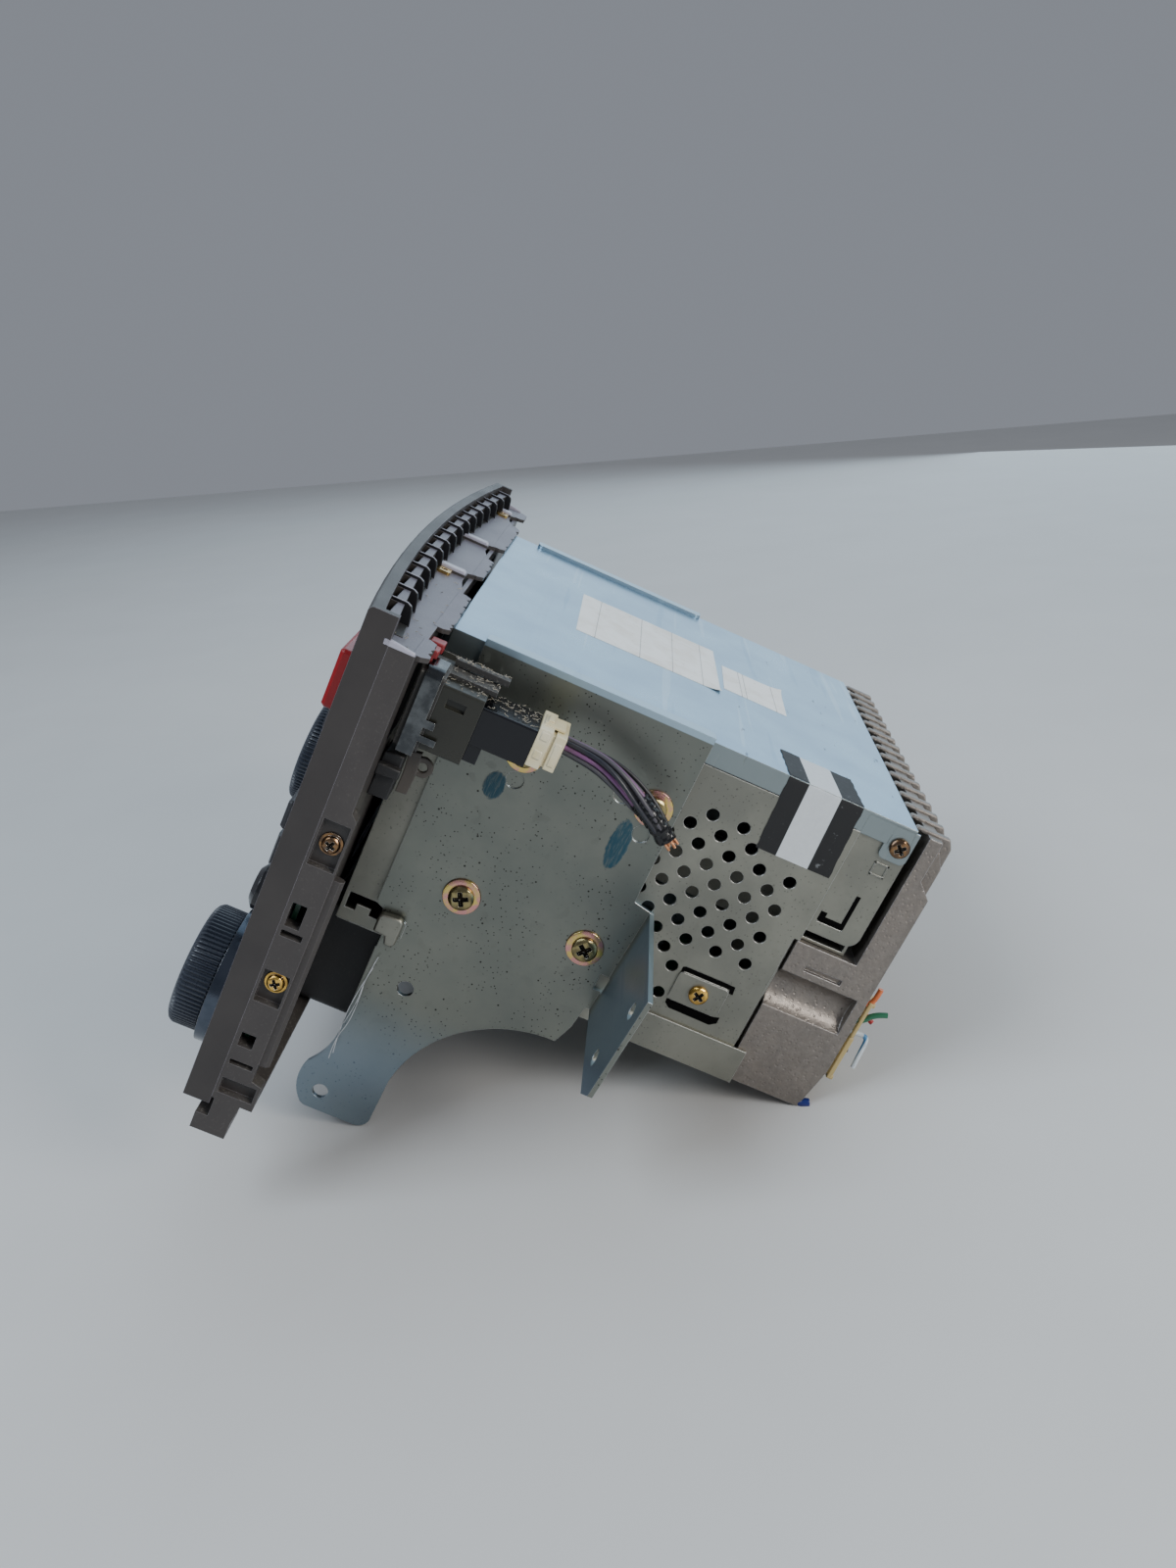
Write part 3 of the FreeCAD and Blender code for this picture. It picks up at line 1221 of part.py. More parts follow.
def mechanism_frame():
    """Deck of bent sheet with its guide rods, spindle motor and the disc guide above."""
    body = new_body("mechanism_frame")
    plate = sketch_on(body, "XY_Plane", -deck_level)
    rectangle(plate, -deck_half, deck_front, deck_half, deck_front + deck_deep)
    pad(body, plate, sheet_metal)
    for side in (1, -1):
        wall = sketch_on(body, "YZ_Plane", deck_half * side)
        outline(wall, [
            (deck_front, -deck_level), (deck_front + deck_deep, -deck_level),
            (deck_front + deck_deep, 12), (60, 12), (48, disc_level + 10), (deck_front, disc_level + 10)])
        pad(body, wall, sheet_metal, side > 0)
        bearing = sketch_on(body, "YZ_Plane", (deck_half + 1) * side)
        circle(bearing, roller_back, disc_level - roller_radius - 1.9, pin_radius + shaft_gap)
        cut(body, bearing, 3, side < 0)
        rods = sketch_on(body, "XZ_Plane", sled_start - 3)
        circle(rods, rod_side * side, rod_level, pin_radius)
        pad(body, rods, sled_long + sled_reach + 6, True)
    guide = sketch_on(body, "XY_Plane", disc_level + slot_high / 2)
    rectangle(guide, -deck_half, deck_front, deck_half, 46)
    pad(body, guide, sheet_metal)
    posts = sketch_on(body, "XY_Plane", deck_top)
    for y in (sled_start - 5, sled_start + sled_long + sled_reach + 1):
        for side in (1, -1):
            rectangle(posts, rod_side * side - 2.5, y, rod_side * side + 2.5, y + 4)
        rectangle(posts, screw_side - 3.5, y, screw_side + 3.5, y + 4)
    pad(body, posts, rod_level + 3 - deck_top)
    bores = sketch_on(body, "XZ_Plane", sled_start - 7)
    circle(bores, screw_side, rod_level, pin_radius + shaft_gap)
    cut(body, bores, sled_long + sled_reach + 14)
    motor = sketch_on(body, "XY_Plane", deck_top)
    circle(motor, 0, spindle_back, motor_radius)
    pad(body, motor, 7)
    well = sketch_on(body, "XY_Plane", deck_top + 8)
    circle(well, 0, spindle_back, pin_radius + shaft_gap)
    cut(body, well, 6)
    legs = sketch_on(body, "XY_Plane", floor_low + sheet_metal)
    for x in (-deck_half + 4, deck_half - 4):
        for y in (14, 128):
            rectangle(legs, x - 3, y, x + 3, y + 5)
    pad(body, legs, -deck_level - floor_low - sheet_metal)


def turntable():
    """Spindle disc with a raised hub, on its motor shaft."""
    body = new_body("turntable")
    base = deck_top + 7 + shaft_gap
    top = disc_level - 1
    for radius, low, high in ((turntable_radius, top - 2.2, 2.2), (size_of(7.2), top, 2.4),
                              (size_of(5), base, top - base - 2), (pin_radius, base - 5, 5)):
        ring = sketch_on(body, "XY_Plane", low)
        circle(ring, 0, spindle_back, radius)
        pad(body, ring, high)


def feed_roller():
    """Rubber roller that draws a disc in, thicker towards its ends."""
    body = new_body("feed_roller")
    level = disc_level - roller_radius - 1.9
    half = deck_half - sheet_metal - 1
    sketch = sketch_on(body, "YZ_Plane", -half - 1.6)
    circle(sketch, roller_back, level, pin_radius)
    pad(body, sketch, half * 2 + 3.2)
    for side in (1, -1):
        sleeve = sketch_on(body, "YZ_Plane", 3 * side)
        circle(sleeve, roller_back, level, roller_radius - 0.8)
        pad(body, sleeve, half - 3, side < 0, -1)


def laser_sled():
    """Pickup on two rods, with its lens and the nut of the lead screw."""
    body = new_body("laser_sled")
    base = sketch_on(body, "XY_Plane", rod_level - 3)
    half = rod_side + 4
    outline(base, [
        (-half, sled_start), (half, sled_start), (half, sled_start + 6), (screw_side + 4, sled_start + 6),
        (screw_side + 4, sled_start + 14), (half, sled_start + 14), (half, sled_start + sled_long),
        (-half, sled_start + sled_long)])
    pad(body, base, 6)
    lens = sketch_on(body, "XY_Plane", rod_level + 3)
    circle(lens, 0, sled_start + 7, 4)
    pad(body, lens, 3)
    ways = sketch_on(body, "XZ_Plane", sled_start - 1)
    for x in (rod_side, -rod_side):
        circle(ways, x, rod_level, pin_radius + shaft_gap)
    circle(ways, screw_side, rod_level, pin_radius + shaft_gap)
    cut(body, ways, sled_long + 2)


def lead_screw():
    """Screw that drives the sled, with a gear at its end."""
    body = new_body("lead_screw")
    rod = sketch_on(body, "XZ_Plane", sled_start - 10)
    circle(rod, screw_side, rod_level, pin_radius)
    pad(body, rod, sled_long + sled_reach + 14, True)
    gear = sketch_on(body, "XZ_Plane", sled_start - 10)
    circle(gear, screw_side, rod_level, 4.5)
    pad(body, gear, 3, True)


chassis_tray()
side_panel(1, "side_panel_right")
side_panel(-1, "side_panel_left")
top_cover()
bottom_cover()
side_bracket(1, "side_bracket_right")
side_bracket(-1, "side_bracket_left")
bracket_screws()
cover_screws()
rear_heatsink()
rear_connector()
rear_wires()
front_panel()
rear_frame()
face_screws()
insert_clips()
window("display_lens", lens_level, lens_wide, lens_high)
window("climate_lens", -panel_low, panel_wide, panel_high)
display_module("display_module", lens_level, lens_wide, lens_high)
display_module("climate_display", -panel_low, panel_wide, panel_high)
slot_guide()
slot_flap()
silver_trim()
knob("volume_knob", size_of(0), -dial_low, dial_radius, face_ahead + 1, dial_deep, 40)
for side, label in ((1, "climate_knob_right"), (-1, "climate_knob_left")):
    seat = face_front(knob_side - ring_radius) + 0.5
    knob(label, knob_side * side, -knob_low, knob_radius, seat, knob_deep, 40)
for name, x, z, wide, high in buttons:
    push_button(name, x, z, wide, high)
for name, x, z, wide, high in rockers:
    rocker(name, x, z, wide, high)
for name, x, z in round_buttons:
    round_button(name, x, z)
control_board()
climate_housing()
switch_housing()
switch_base()
switch_socket()
switch_clip()
harness_plug()
hazard_harness()
main_board()
mechanism_frame()
turntable()
feed_roller()
laser_sled()
lead_screw()

doc.recompute()
for item in doc.Objects:
    if "Invalid" in item.State or "Error" in item.State:
        raise ValueError(f"{item.Name} did not compute")
os.makedirs("parts", exist_ok=True)
for item in bodies:
    if item.Shape.isNull() or not item.Shape.isValid():
        raise ValueError(f"{item.Label} has no valid shape")
    item.Shape.exportStep(f"parts/{item.Label}.step")
print(len(bodies), "sub-parts written")
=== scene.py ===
# %% [markdown]
# # A car cd player, dressed for a studio picture
# The solid model gives the true shape and the moving bodies. This file gives each
# surface the finish that it has on the real unit, adds the small pieces that a solid
# model leaves out, and sets up the floor, the light and the camera.

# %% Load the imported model
import json
import math
import random

import bmesh
import bpy
from mathutils import Matrix, Vector


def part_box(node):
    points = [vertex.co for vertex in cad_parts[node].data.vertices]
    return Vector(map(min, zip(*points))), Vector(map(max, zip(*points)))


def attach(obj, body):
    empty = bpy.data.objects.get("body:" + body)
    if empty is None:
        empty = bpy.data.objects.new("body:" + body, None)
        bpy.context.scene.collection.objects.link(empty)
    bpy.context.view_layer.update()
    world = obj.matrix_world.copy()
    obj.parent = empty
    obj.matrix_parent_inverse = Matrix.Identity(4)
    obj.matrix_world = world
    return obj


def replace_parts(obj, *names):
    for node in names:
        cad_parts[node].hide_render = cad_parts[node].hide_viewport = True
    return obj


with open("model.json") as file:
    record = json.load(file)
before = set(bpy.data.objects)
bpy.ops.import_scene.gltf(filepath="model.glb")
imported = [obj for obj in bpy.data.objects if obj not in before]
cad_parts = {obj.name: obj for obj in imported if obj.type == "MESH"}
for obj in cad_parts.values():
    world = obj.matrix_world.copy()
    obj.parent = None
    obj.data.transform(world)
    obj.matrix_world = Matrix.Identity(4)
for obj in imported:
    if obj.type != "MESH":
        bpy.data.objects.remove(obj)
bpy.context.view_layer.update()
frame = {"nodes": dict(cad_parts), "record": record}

MM = 0.001
SIDES = (1, -1)
nodes = frame["nodes"]

# %% [markdown]
# The camera comes first. Its place was worked out from corners of the unit whose real
# positions are known, so the picture lines up with the photograph. The long side of the
# frame is 1600 pixels, and the lens follows from the focal length in pixels.

# %% Place the camera
EYE = Vector((470.2, 21.0, 159.3)) * MM
LOOK = Vector((-0.939184, 0.090073, -0.331392))
CAMERA_UP = Vector((-0.339160, -0.394710, 0.853917))
FOCAL_PIXELS = 1309.2
LONG_SIDE = 1600
SENSOR = 36.0


def camera_axes(look, up):
    back = -look.normalized()
    right = up.cross(back).normalized()
    return Matrix((right, back.cross(right), back)).transposed()


lens = bpy.data.cameras.new("camera")
lens.sensor_width = SENSOR
lens.lens = FOCAL_PIXELS / LONG_SIDE * SENSOR
lens.clip_start = 0.01
camera = bpy.data.objects.new("camera", lens)
camera.matrix_world = Matrix.Translation(EYE) @ camera_axes(LOOK, CAMERA_UP).to_4x4()
bpy.context.scene.collection.objects.link(camera)
bpy.context.scene.camera = camera
print("lens", round(lens.lens, 2), "mm")

# %% [markdown]
# Shader maths reads better as plain sums. A small class wraps one output socket, so that
# `1 - mask * 0.4` makes the Math nodes by itself. Colours and vectors have methods of
# their own, because a Math node would turn a colour grey. Each finished material goes into
# one table under its own name, and the pieces ask for it by that name.

# %% A socket that can be added and multiplied
FINISH = {}


class Wire:
    """One output socket inside a material, with sums written as sums."""

    def __init__(self, paint, socket):
        self.paint = paint
        self.socket = socket

    def sum(self, operation, first, second):
        return self.paint.node("ShaderNodeMath", {"operation": operation}, {0: first, 1: second})[0]

    def __add__(self, other):
        return self.sum("ADD", self, other)

    __radd__ = __add__

    def __sub__(self, other):
        return self.sum("SUBTRACT", self, other)

    def __rsub__(self, other):
        return self.sum("SUBTRACT", other, self)

    def __mul__(self, other):
        return self.sum("MULTIPLY", self, other)

    def __truediv__(self, other):
        return self.sum("DIVIDE", self, other)

    def __pow__(self, other):
        return self.sum("POWER", self, other)

    def above(self, edge, soft=0.05):
        """0 below the edge, 1 above it, with a soft step between."""
        settings = {"interpolation_type": "SMOOTHSTEP"}
        inputs = {"Value": self, "From Min": edge - soft, "From Max": edge + soft}
        return self.paint.node("ShaderNodeMapRange", settings, inputs)[0]

    def highest(self, other):
        return self.sum("MAXIMUM", self, other)

    def sine(self):
        return self.sum("SINE", self, 0.0)


class Paint:
    """A material under construction."""

    def __init__(self, name):
        self.name = name
        self.material = bpy.data.materials.new(name)
        self.material.use_nodes = True
        self.tree = self.material.node_tree
        self.tree.nodes.clear()
        self.output = self.tree.nodes.new("ShaderNodeOutputMaterial")
        self.places = self.node("ShaderNodeNewGeometry", {}, {})["Position"]

    def node(self, kind, settings, inputs):
        """A node by its type, its settings, and values or wires for its sockets."""
        made = self.tree.nodes.new(kind)
        for name, value in settings.items():
            setattr(made, name, value)
        for name, value in inputs.items():
            socket = made.inputs[name]
            if isinstance(value, Wire):
                self.tree.links.new(value.socket, socket)
            elif isinstance(value, tuple) and len(value) == 3 and socket.type == "RGBA":
                socket.default_value = (*value, 1)
            else:
                socket.default_value = value
        shown = [output for output in made.outputs if output.enabled]
        wires = {output.name: Wire(self, output) for output in shown}
        wires.update({index: Wire(self, output) for index, output in enumerate(shown)})
        return wires

    def noise(self, size, detail=4.0, rough=0.55, stretch=(1, 1, 1), shift=(0, 0, 0)):
        """Noise whose patches are about one size across, in millimetres."""
        where = self.scaled(size, stretch, shift)
        return self.node("ShaderNodeTexNoise", {}, {
            "Vector": where, "Scale": 1.0, "Detail": detail, "Roughness": rough})["Fac"]

    def cells(self, size):
        """Distance to the nearest of many scattered points."""
        return self.node("ShaderNodeTexVoronoi", {}, {
            "Vector": self.scaled(size), "Scale": 1.0})["Distance"]

    def scaled(self, size, stretch=(1, 1, 1), shift=(0, 0, 0)):
        factor = tuple(s / (size * MM) for s in stretch)
        return self.node("ShaderNodeVectorMath", {"operation": "MULTIPLY_ADD"}, {
            0: self.places, 1: factor, 2: shift})["Vector"]

    def mix(self, factor, first, second):
        """A colour between two, by a factor."""
        return self.node("ShaderNodeMix", {"data_type": "RGBA"}, {
            0: factor, 6: first, 7: second})["Result"]

    def part_of(self, vector, name):
        return self.node("ShaderNodeSeparateXYZ", {}, {0: vector})[name]

    def axis(self, name):
        return self.part_of(self.places, name)

    def true_normal(self):
        return self.node("ShaderNodeNewGeometry", {}, {})["Normal"]

    def soft_normal(self, radius):
        return self.node("ShaderNodeBevel", {"samples": 4}, {"Radius": radius * MM})["Normal"]

    def facing(self, name):
        """How far a face looks along one axis of the model."""
        return self.part_of(self.true_normal(), name)

    def edges(self, radius=0.4):
        """1 near sharp edges, where a finish wears first and where a painted edge highlight goes."""
        pair = {0: self.soft_normal(radius), 1: self.true_normal()}
        return 1 - self.node("ShaderNodeVectorMath", {"operation": "DOT_PRODUCT"}, pair)["Value"]

    def finish(self, height=None, depth=0.05, rounding=0.3, alpha=1.0, **sockets):
        """Close the material: a principled surface over a bump and softened edges."""
        inputs = {name.replace("_", " "): value for name, value in sockets.items()}
        inputs["Alpha"] = alpha
        if rounding:
            inputs["Normal"] = self.soft_normal(rounding)
        if height is not None:
            bump = {"Height": height, "Distance": depth * MM, "Strength": 1.0}
            if rounding:
                bump["Normal"] = inputs["Normal"]
            inputs["Normal"] = self.node("ShaderNodeBump", {}, bump)["Normal"]
        surface = self.node("ShaderNodeBsdfPrincipled", {}, inputs)[0]
        self.tree.links.new(surface.socket, self.output.inputs["Surface"])
        FINISH[self.name] = self.material


print("shader helpers ready")

# %% [markdown]
# Zinc plated sheet steel is nearly grey, a little blue or green, and never quite even:
# the bath leaves soft clouds, and handling leaves fine scratches and dull prints. The
# same recipe serves the lid, the side panels and the brackets, with its own tint each.

# %% Zinc plated sheet
BRIGHT_EDGE = (0.62, 0.63, 0.62)
SMUT = (0.025, 0.023, 0.02)


def zinc(name, colour, shade, shine, specks=0.0, extra=None):
    paint = Paint(name)
    clouds = paint.noise(26, 5)
    grain = paint.noise(1.2, 3, 0.7)
    scratch = paint.noise(14, 2, 0.4, stretch=(0.12, 2.6, 2.6)).above(0.66, 0.02)
    tone = paint.mix(clouds.above(0.5, 0.2), colour, shade)
    # Sharp edges turn brighter: partly worn plating, partly a painted edge highlight.
    tone = paint.mix(paint.edges() * 3.5, tone, BRIGHT_EDGE)
    if specks:
        dots = 1 - paint.cells(1.5).above(0.16, 0.05)
        smuts = 1 - paint.cells(5.5).above(0.065, 0.02)
        where = paint.noise(18, 3).above(0.47, 0.08)
        tone = paint.mix((dots * where).highest(smuts) * specks, tone, SMUT)
    look = {"Base_Color": tone, "Metallic": 0.92,
            "Roughness": shine + (clouds - 0.5) * 0.12 + (grain - 0.5) * 0.12 + scratch * 0.08,
            "height": grain * 0.25 + clouds * 0.2 - scratch * 0.3}
    if extra:
        extra(paint, look)
    paint.finish(depth=0.05, rounding=0.5, **look)


zinc("panel_zinc", (0.3, 0.295, 0.25), (0.22, 0.22, 0.19), 0.42, 0.4)
print("panel finish ready")

# %% [markdown]
# The lid has seen more life than the sides: a shallow crease across its front half, short
# blue grey scuffs towards the rear, and a faint step where it was folded. Its top is painted
# bluer than its sides, a painted reflection of the blue sky. The brackets carry two dabs of
# blue-green marking paint. Their upward lips and their ears are painted blue, a painted
# reflection of the blue light, and their legs turn bluer towards the bottom.
# All of these are masks in the model's own millimetres, so they stay where they belong.

# %% Marks on the lid and on the brackets


def patch(paint, first, first_middle, first_half, second, second_middle, second_half):
    """1 inside an oval between two axes of the model, with a ragged edge."""
    one = (paint.axis(first) - first_middle * MM) / (first_half * MM)
    two = (paint.axis(second) - second_middle * MM) / (second_half * MM)
    far = (one * one + two * two) ** 0.5
    return 1 - (far + (paint.noise(2.2, 4, 0.7) - 0.5) * 0.5).above(1.0, 0.08)


def lid_marks(paint, look):
    crease = (paint.axis("Y") - 23.5 * MM + (paint.noise(60) - 0.5) * 3 * MM) / (1.6 * MM)
    crease = (1 - crease * crease).highest(0.0) * paint.axis("X").above(-0.014, 0.01)
    scuffs = paint.noise(9, 3, 0.6, stretch=(0.5, 2.4, 1), shift=(3, 1, 0)).above(0.69, 0.02)
    scuffs = scuffs * paint.axis("Y").above(0.085, 0.02)
    lines = paint.noise(40, 2, 0.4, stretch=(0.35, 9, 1), shift=(0, 7, 2)).above(0.68, 0.012)
    # The lid's sides keep a greyer tone, without the painted sky reflection of its top.
    sides = 1 - paint.facing("Z").above(0.5, 0.2)
    rust = patch(paint, "X", 20, 6, "Y", 60, 3)
    for mask, colour in ((scuffs * 0.75, (0.16, 0.2, 0.26)), (lines * 0.22, (0.7, 0.76, 0.82)),
                         (sides * 0.85, (0.25, 0.275, 0.26)), (rust * 0.25, (0.42, 0.2, 0.08))):
        look["Base_Color"] = paint.mix(mask, look["Base_Color"], colour)
    look["Roughness"] += scuffs * 0.15
    look["height"] += crease * 4 - scuffs * 0.8 - lines * 0.5


def bracket_marks(paint, look):
    outside = paint.axis("X").above(0.09, 0.0002)
    upper = patch(paint, "Y", 74.5, 3.3, "Z", 10.5, 9.2)
    lower = patch(paint, "Y", 30.6, 3.4, "Z", 12.5, 4.8)
    # The ear patch is painted deep blue: a painted reflection of the blue light.
    ear = patch(paint, "X", 118, 5, "Z", -56, 3.2) * paint.facing("Y").above(-0.5, 0.1) * 0.7
    streaks = paint.noise(3, 4, 0.7, stretch=(1, 4, 0.6)).above(0.42, 0.15)
    dabs = upper.highest(lower) * outside * (streaks * 0.5 + 0.5)
    # Upward lips, and everything above 53.4 mm, are painted lid blue: a painted reflection of the sky.
    lip = paint.facing("Z").above(0.8, 0.1).highest(paint.axis("Z").above(0.0534, 0.0002))
    # The ear's forward faces are painted blue, a painted reflection of the blue front light; the legs also
    # turn bluer below 88 mm.
    ear_front_reflection = (0 - paint.facing("Y")).above(0.6, 0.2) * paint.axis("X").above(0.095, 0.004)
    foot = ((1 - paint.axis("Z").above(-0.088, 0.018)) * 0.65).highest(ear_front_reflection)
    for mask, colour in ((lip, (0.4, 0.53, 0.62)), (foot * 0.6, (0.27, 0.4, 0.55)),
                         (dabs, (0.004, 0.05, 0.08)), (ear, (0.02, 0.07, 0.3))):
        look["Base_Color"] = paint.mix(mask, look["Base_Color"], colour)
    look["Metallic"] = 0.92 - dabs * 0.9
    look["Roughness"] += dabs * 0.12
    look["height"] += dabs * 1.5


# The lid's strong blue is a painted reflection of the blue sky over zinc that is only a little blue.
zinc("cover_zinc", (0.36, 0.52, 0.65), (0.31, 0.46, 0.59), 0.3, extra=lid_marks)
zinc("bracket_zinc", (0.215, 0.222, 0.192), (0.18, 0.192, 0.17), 0.34, 0.95, extra=bracket_marks)
print("lid and bracket finishes ready")

# %% [markdown]
# Moulded plastic shows a fine spark-eroded grain, dust in its corners and paler edges, partly
# rubbed by hands and partly a painted edge highlight. The grain is a bump only a few hundredths
# deep. The table gives, for each one, its colour, its shade, how rough it is, the size of its
# grain in millimetres, how dusty it is and the colour of its paler edges. Two have more: how
# deep the grain of the tape is, and the paler lavender of the frame's upward faces, a painted
# sheen of the blue sky.

# %% Moulded plastics
WORN_AND_LIT_EDGE_GREY = (0.2, 0.2, 0.21)
LYING_DUST = (0.36, 0.34, 0.3)


def moulding(name, colour, shade, rough, grain_size, dust=0.0, worn=WORN_AND_LIT_EDGE_GREY, depth=0.03, sky_sheen=None):
    paint = Paint(name)
    clouds = paint.noise(20, 4)
    grain = paint.noise(grain_size, 2, 0.6)
    tone = paint.mix(clouds.above(0.5, 0.25), colour, shade)
    if sky_sheen:
        # Upward faces above 48 mm take a paler lavender: a painted reflection of the blue sky.
        sheen_faces = paint.facing("Z").above(0.8, 0.1) * paint.axis("Z").above(0.048, 0.001)
        tone = paint.mix(sheen_faces, tone, sky_sheen)
    # Paler edges: partly wear, partly a painted edge highlight.
    tone = paint.mix(paint.edges(0.3) * 2.5, tone, worn)
    specks = paint.noise(0.9, 3, 0.8).above(0.63, 0.05)
    if dust:
        lying = paint.facing("Z").above(0.5, 0.3)
        tone = paint.mix((specks * 0.8 + 0.12) * dust * (lying * 0.8 + 0.2), tone, LYING_DUST)
    roughness = rough + (clouds - 0.5) * 0.2 + specks * (0.1 if dust else 0)
    paint.finish(height=grain + specks * dust, depth=depth, rounding=0.35, Base_Color=tone,
                 Roughness=roughness, Specular_IOR_Level=0.45)


for row in (
        ("fascia_plastic", (0.04, 0.035, 0.033), (0.031, 0.027, 0.026), 0.42, 0.45, 0, (0.3, 0.28, 0.33)),
        ("frame_plastic", (0.048, 0.042, 0.04), (0.038, 0.033, 0.032), 0.4, 0.7, 0.45, (0.2, 0.19, 0.2),
         0.03, (0.125, 0.118, 0.155)),
        ("black_plastic", (0.012, 0.012, 0.013), (0.018, 0.018, 0.02), 0.45, 0.6, 0.3),
        ("socket_plastic", (0.002, 0.002, 0.004), (0.003, 0.003, 0.005), 0.2, 0.8, 0, (0.06, 0.06, 0.08)),
        ("dusty_plastic", (0.02, 0.02, 0.021), (0.03, 0.029, 0.027), 0.6, 0.7, 0.9),
        ("olive_plastic", (0.024, 0.024, 0.018), (0.017, 0.017, 0.013), 0.3, 0.6, 0.1, (0.12, 0.12, 0.1)),
        ("cream_plastic", (0.62, 0.56, 0.42), (0.55, 0.49, 0.36), 0.4, 0.8, 0.15, (0.7, 0.66, 0.55)),
        ("button_plastic", (0.03, 0.03, 0.034), (0.04, 0.04, 0.044), 0.38, 0.4),
        ("knob_plastic", (0.1, 0.11, 0.135), (0.075, 0.08, 0.1), 0.32, 0.6, 0, (0.4, 0.43, 0.5)),
        ("dome_plastic", (0.016, 0.016, 0.018), (0.02, 0.02, 0.022), 0.12, 1.5),
        ("red_plastic", (0.36, 0.01, 0.014), (0.27, 0.007, 0.011), 0.26, 0.8, 0, (0.5, 0.1, 0.1)),
        ("tape_plastic", (0.005, 0.005, 0.006), (0.008, 0.008, 0.009), 0.1, 1.6, 0, (0.03, 0.03, 0.035),
         0.05),
        ("roller_rubber", (0.03, 0.03, 0.03), (0.04, 0.038, 0.036), 0.7, 0.5),
        ("board_resist", (0.02, 0.1, 0.05), (0.015, 0.08, 0.04), 0.3, 0.9),
        # This pale finish is a painted highlight along black ridges.
        ("highlight_plastic", (0.42, 0.41, 0.48), (0.34, 0.33, 0.4), 0.25, 0.8, 0.15, (0.75, 0.75, 0.82)),
        ("strap_plastic", (0.07, 0.058, 0.048), (0.055, 0.047, 0.04), 0.35, 0.9, 0.2),
        ("lamp_red", (0.26, 0.025, 0.03), (0.2, 0.02, 0.024), 0.35, 0.8, 0.15, (0.4, 0.12, 0.12)),
        ("plug_nylon", (0.7, 0.66, 0.5), (0.6, 0.5, 0.26), 0.32, 1.4, 0.12, (0.85, 0.83, 0.75)),
        ("yellowed_nylon", (0.52, 0.42, 0.2), (0.45, 0.34, 0.14), 0.38, 0.8, 0.15, (0.6, 0.55, 0.4)),
        ("foot_blue", (0.015, 0.025, 0.16), (0.012, 0.02, 0.12), 0.2, 0.8, 0, (0.1, 0.15, 0.4))):
    moulding(*row)
print("plastics ready")

# %% [markdown]
# The rear block is a die casting. Its skin is mottled brown and grey, with flow marks,
# small pits and brighter edges, partly worn and partly a painted edge highlight. The plated
# pieces have two tones of their bath, in patches of a few millimetres, and brighter edges
# too, partly worn and partly a painted edge highlight.

# %% Casting, screws, brass and bright trim


def casting():
    paint = Paint("cast_alloy")
    clouds = paint.noise(9, 5, 0.7)
    mottle = paint.noise(1.6, 4, 0.7)
    pits = 1 - paint.cells(1.6).above(0.24, 0.12)
    tone = paint.mix(clouds.above(0.5, 0.3), (0.25, 0.218, 0.19), (0.185, 0.165, 0.15))
    tone = paint.mix(mottle.above(0.55, 0.2) * 0.35, tone, (0.36, 0.33, 0.3))
    # Brighter edges: partly wear, partly a painted edge highlight.
    tone = paint.mix(paint.edges() * 3.0, tone, (0.56, 0.56, 0.58))
    paint.finish(height=mottle * 0.6 + clouds * 0.8 - pits * 0.5, depth=0.22, rounding=0.7,
                 Base_Color=tone, Metallic=0.8, Roughness=0.42 + (mottle - 0.5) * 0.35)


def plated(name, colour, second, rough, size=5.0):
    paint = Paint(name)
    clouds = paint.noise(size, 4)
    tone = paint.mix(clouds.above(0.5, 0.12), colour, second)
    # Brighter edges: partly wear, partly a painted edge highlight.
    tone = paint.mix(paint.edges(0.2) * 2.5, tone, (0.8, 0.78, 0.72))
    paint.finish(height=paint.noise(0.35, 2), depth=0.02, rounding=0.2, Base_Color=tone, Metallic=1.0,
                 Roughness=rough + (clouds - 0.5) * 0.2)


casting()
for row in (
        ("copper_steel", (0.3, 0.17, 0.11), (0.17, 0.1, 0.08), 0.3),
        ("screw_steel", (0.5, 0.5, 0.46), (0.38, 0.38, 0.36), 0.26),
        ("washer_steel", (0.68, 0.52, 0.16), (0.66, 0.32, 0.3), 0.24, 3.0),
        ("clip_steel", (0.13, 0.137, 0.14), (0.07, 0.074, 0.078), 0.2),
        ("insert_brass", (0.78, 0.55, 0.2), (0.62, 0.42, 0.14), 0.24),
        ("bright_trim", (0.1, 0.115, 0.145), (0.07, 0.085, 0.11), 0.16, 12.0),
        ("sled_metal", (0.5, 0.5, 0.52), (0.42, 0.42, 0.45), 0.35),
        ("copper_strand", (0.75, 0.38, 0.2), (0.55, 0.24, 0.12), 0.3, 1.0),
        ("copper_head", (0.3, 0.17, 0.08), (0.14, 0.09, 0.06), 0.22, 2.5),
        ("olive_head", (0.34, 0.28, 0.13), (0.2, 0.165, 0.085), 0.22, 2.5),
        ("gold_head", (0.8, 0.5, 0.12), (0.5, 0.3, 0.08), 0.22, 2.5),
        # The recess finish is painted shade, near black, for the hollow of each screw's cross.
        ("recess_shade", (0.012, 0.01, 0.008), (0.03, 0.022, 0.015), 0.5, 1.0)):
    plated(*row)
print("metals ready")

# %% [markdown]
# The windows are smoked and glossy, with a dark display glass behind them. Dark gaps,
# which are painted shade, and printed signs are matt, and a wire's cover is drawn plastic:
# glossy along its length, one colour, sometimes with a stripe.

# %% Glass, gaps, print and wire covers


def smoked_window():
    paint = Paint("smoked_window")
    paint.finish(Base_Color=(0.02, 0.022, 0.026), Roughness=0.06 + paint.noise(30, 3) * 0.06,
                 rounding=0.0, alpha=0.55, Specular_IOR_Level=0.6)


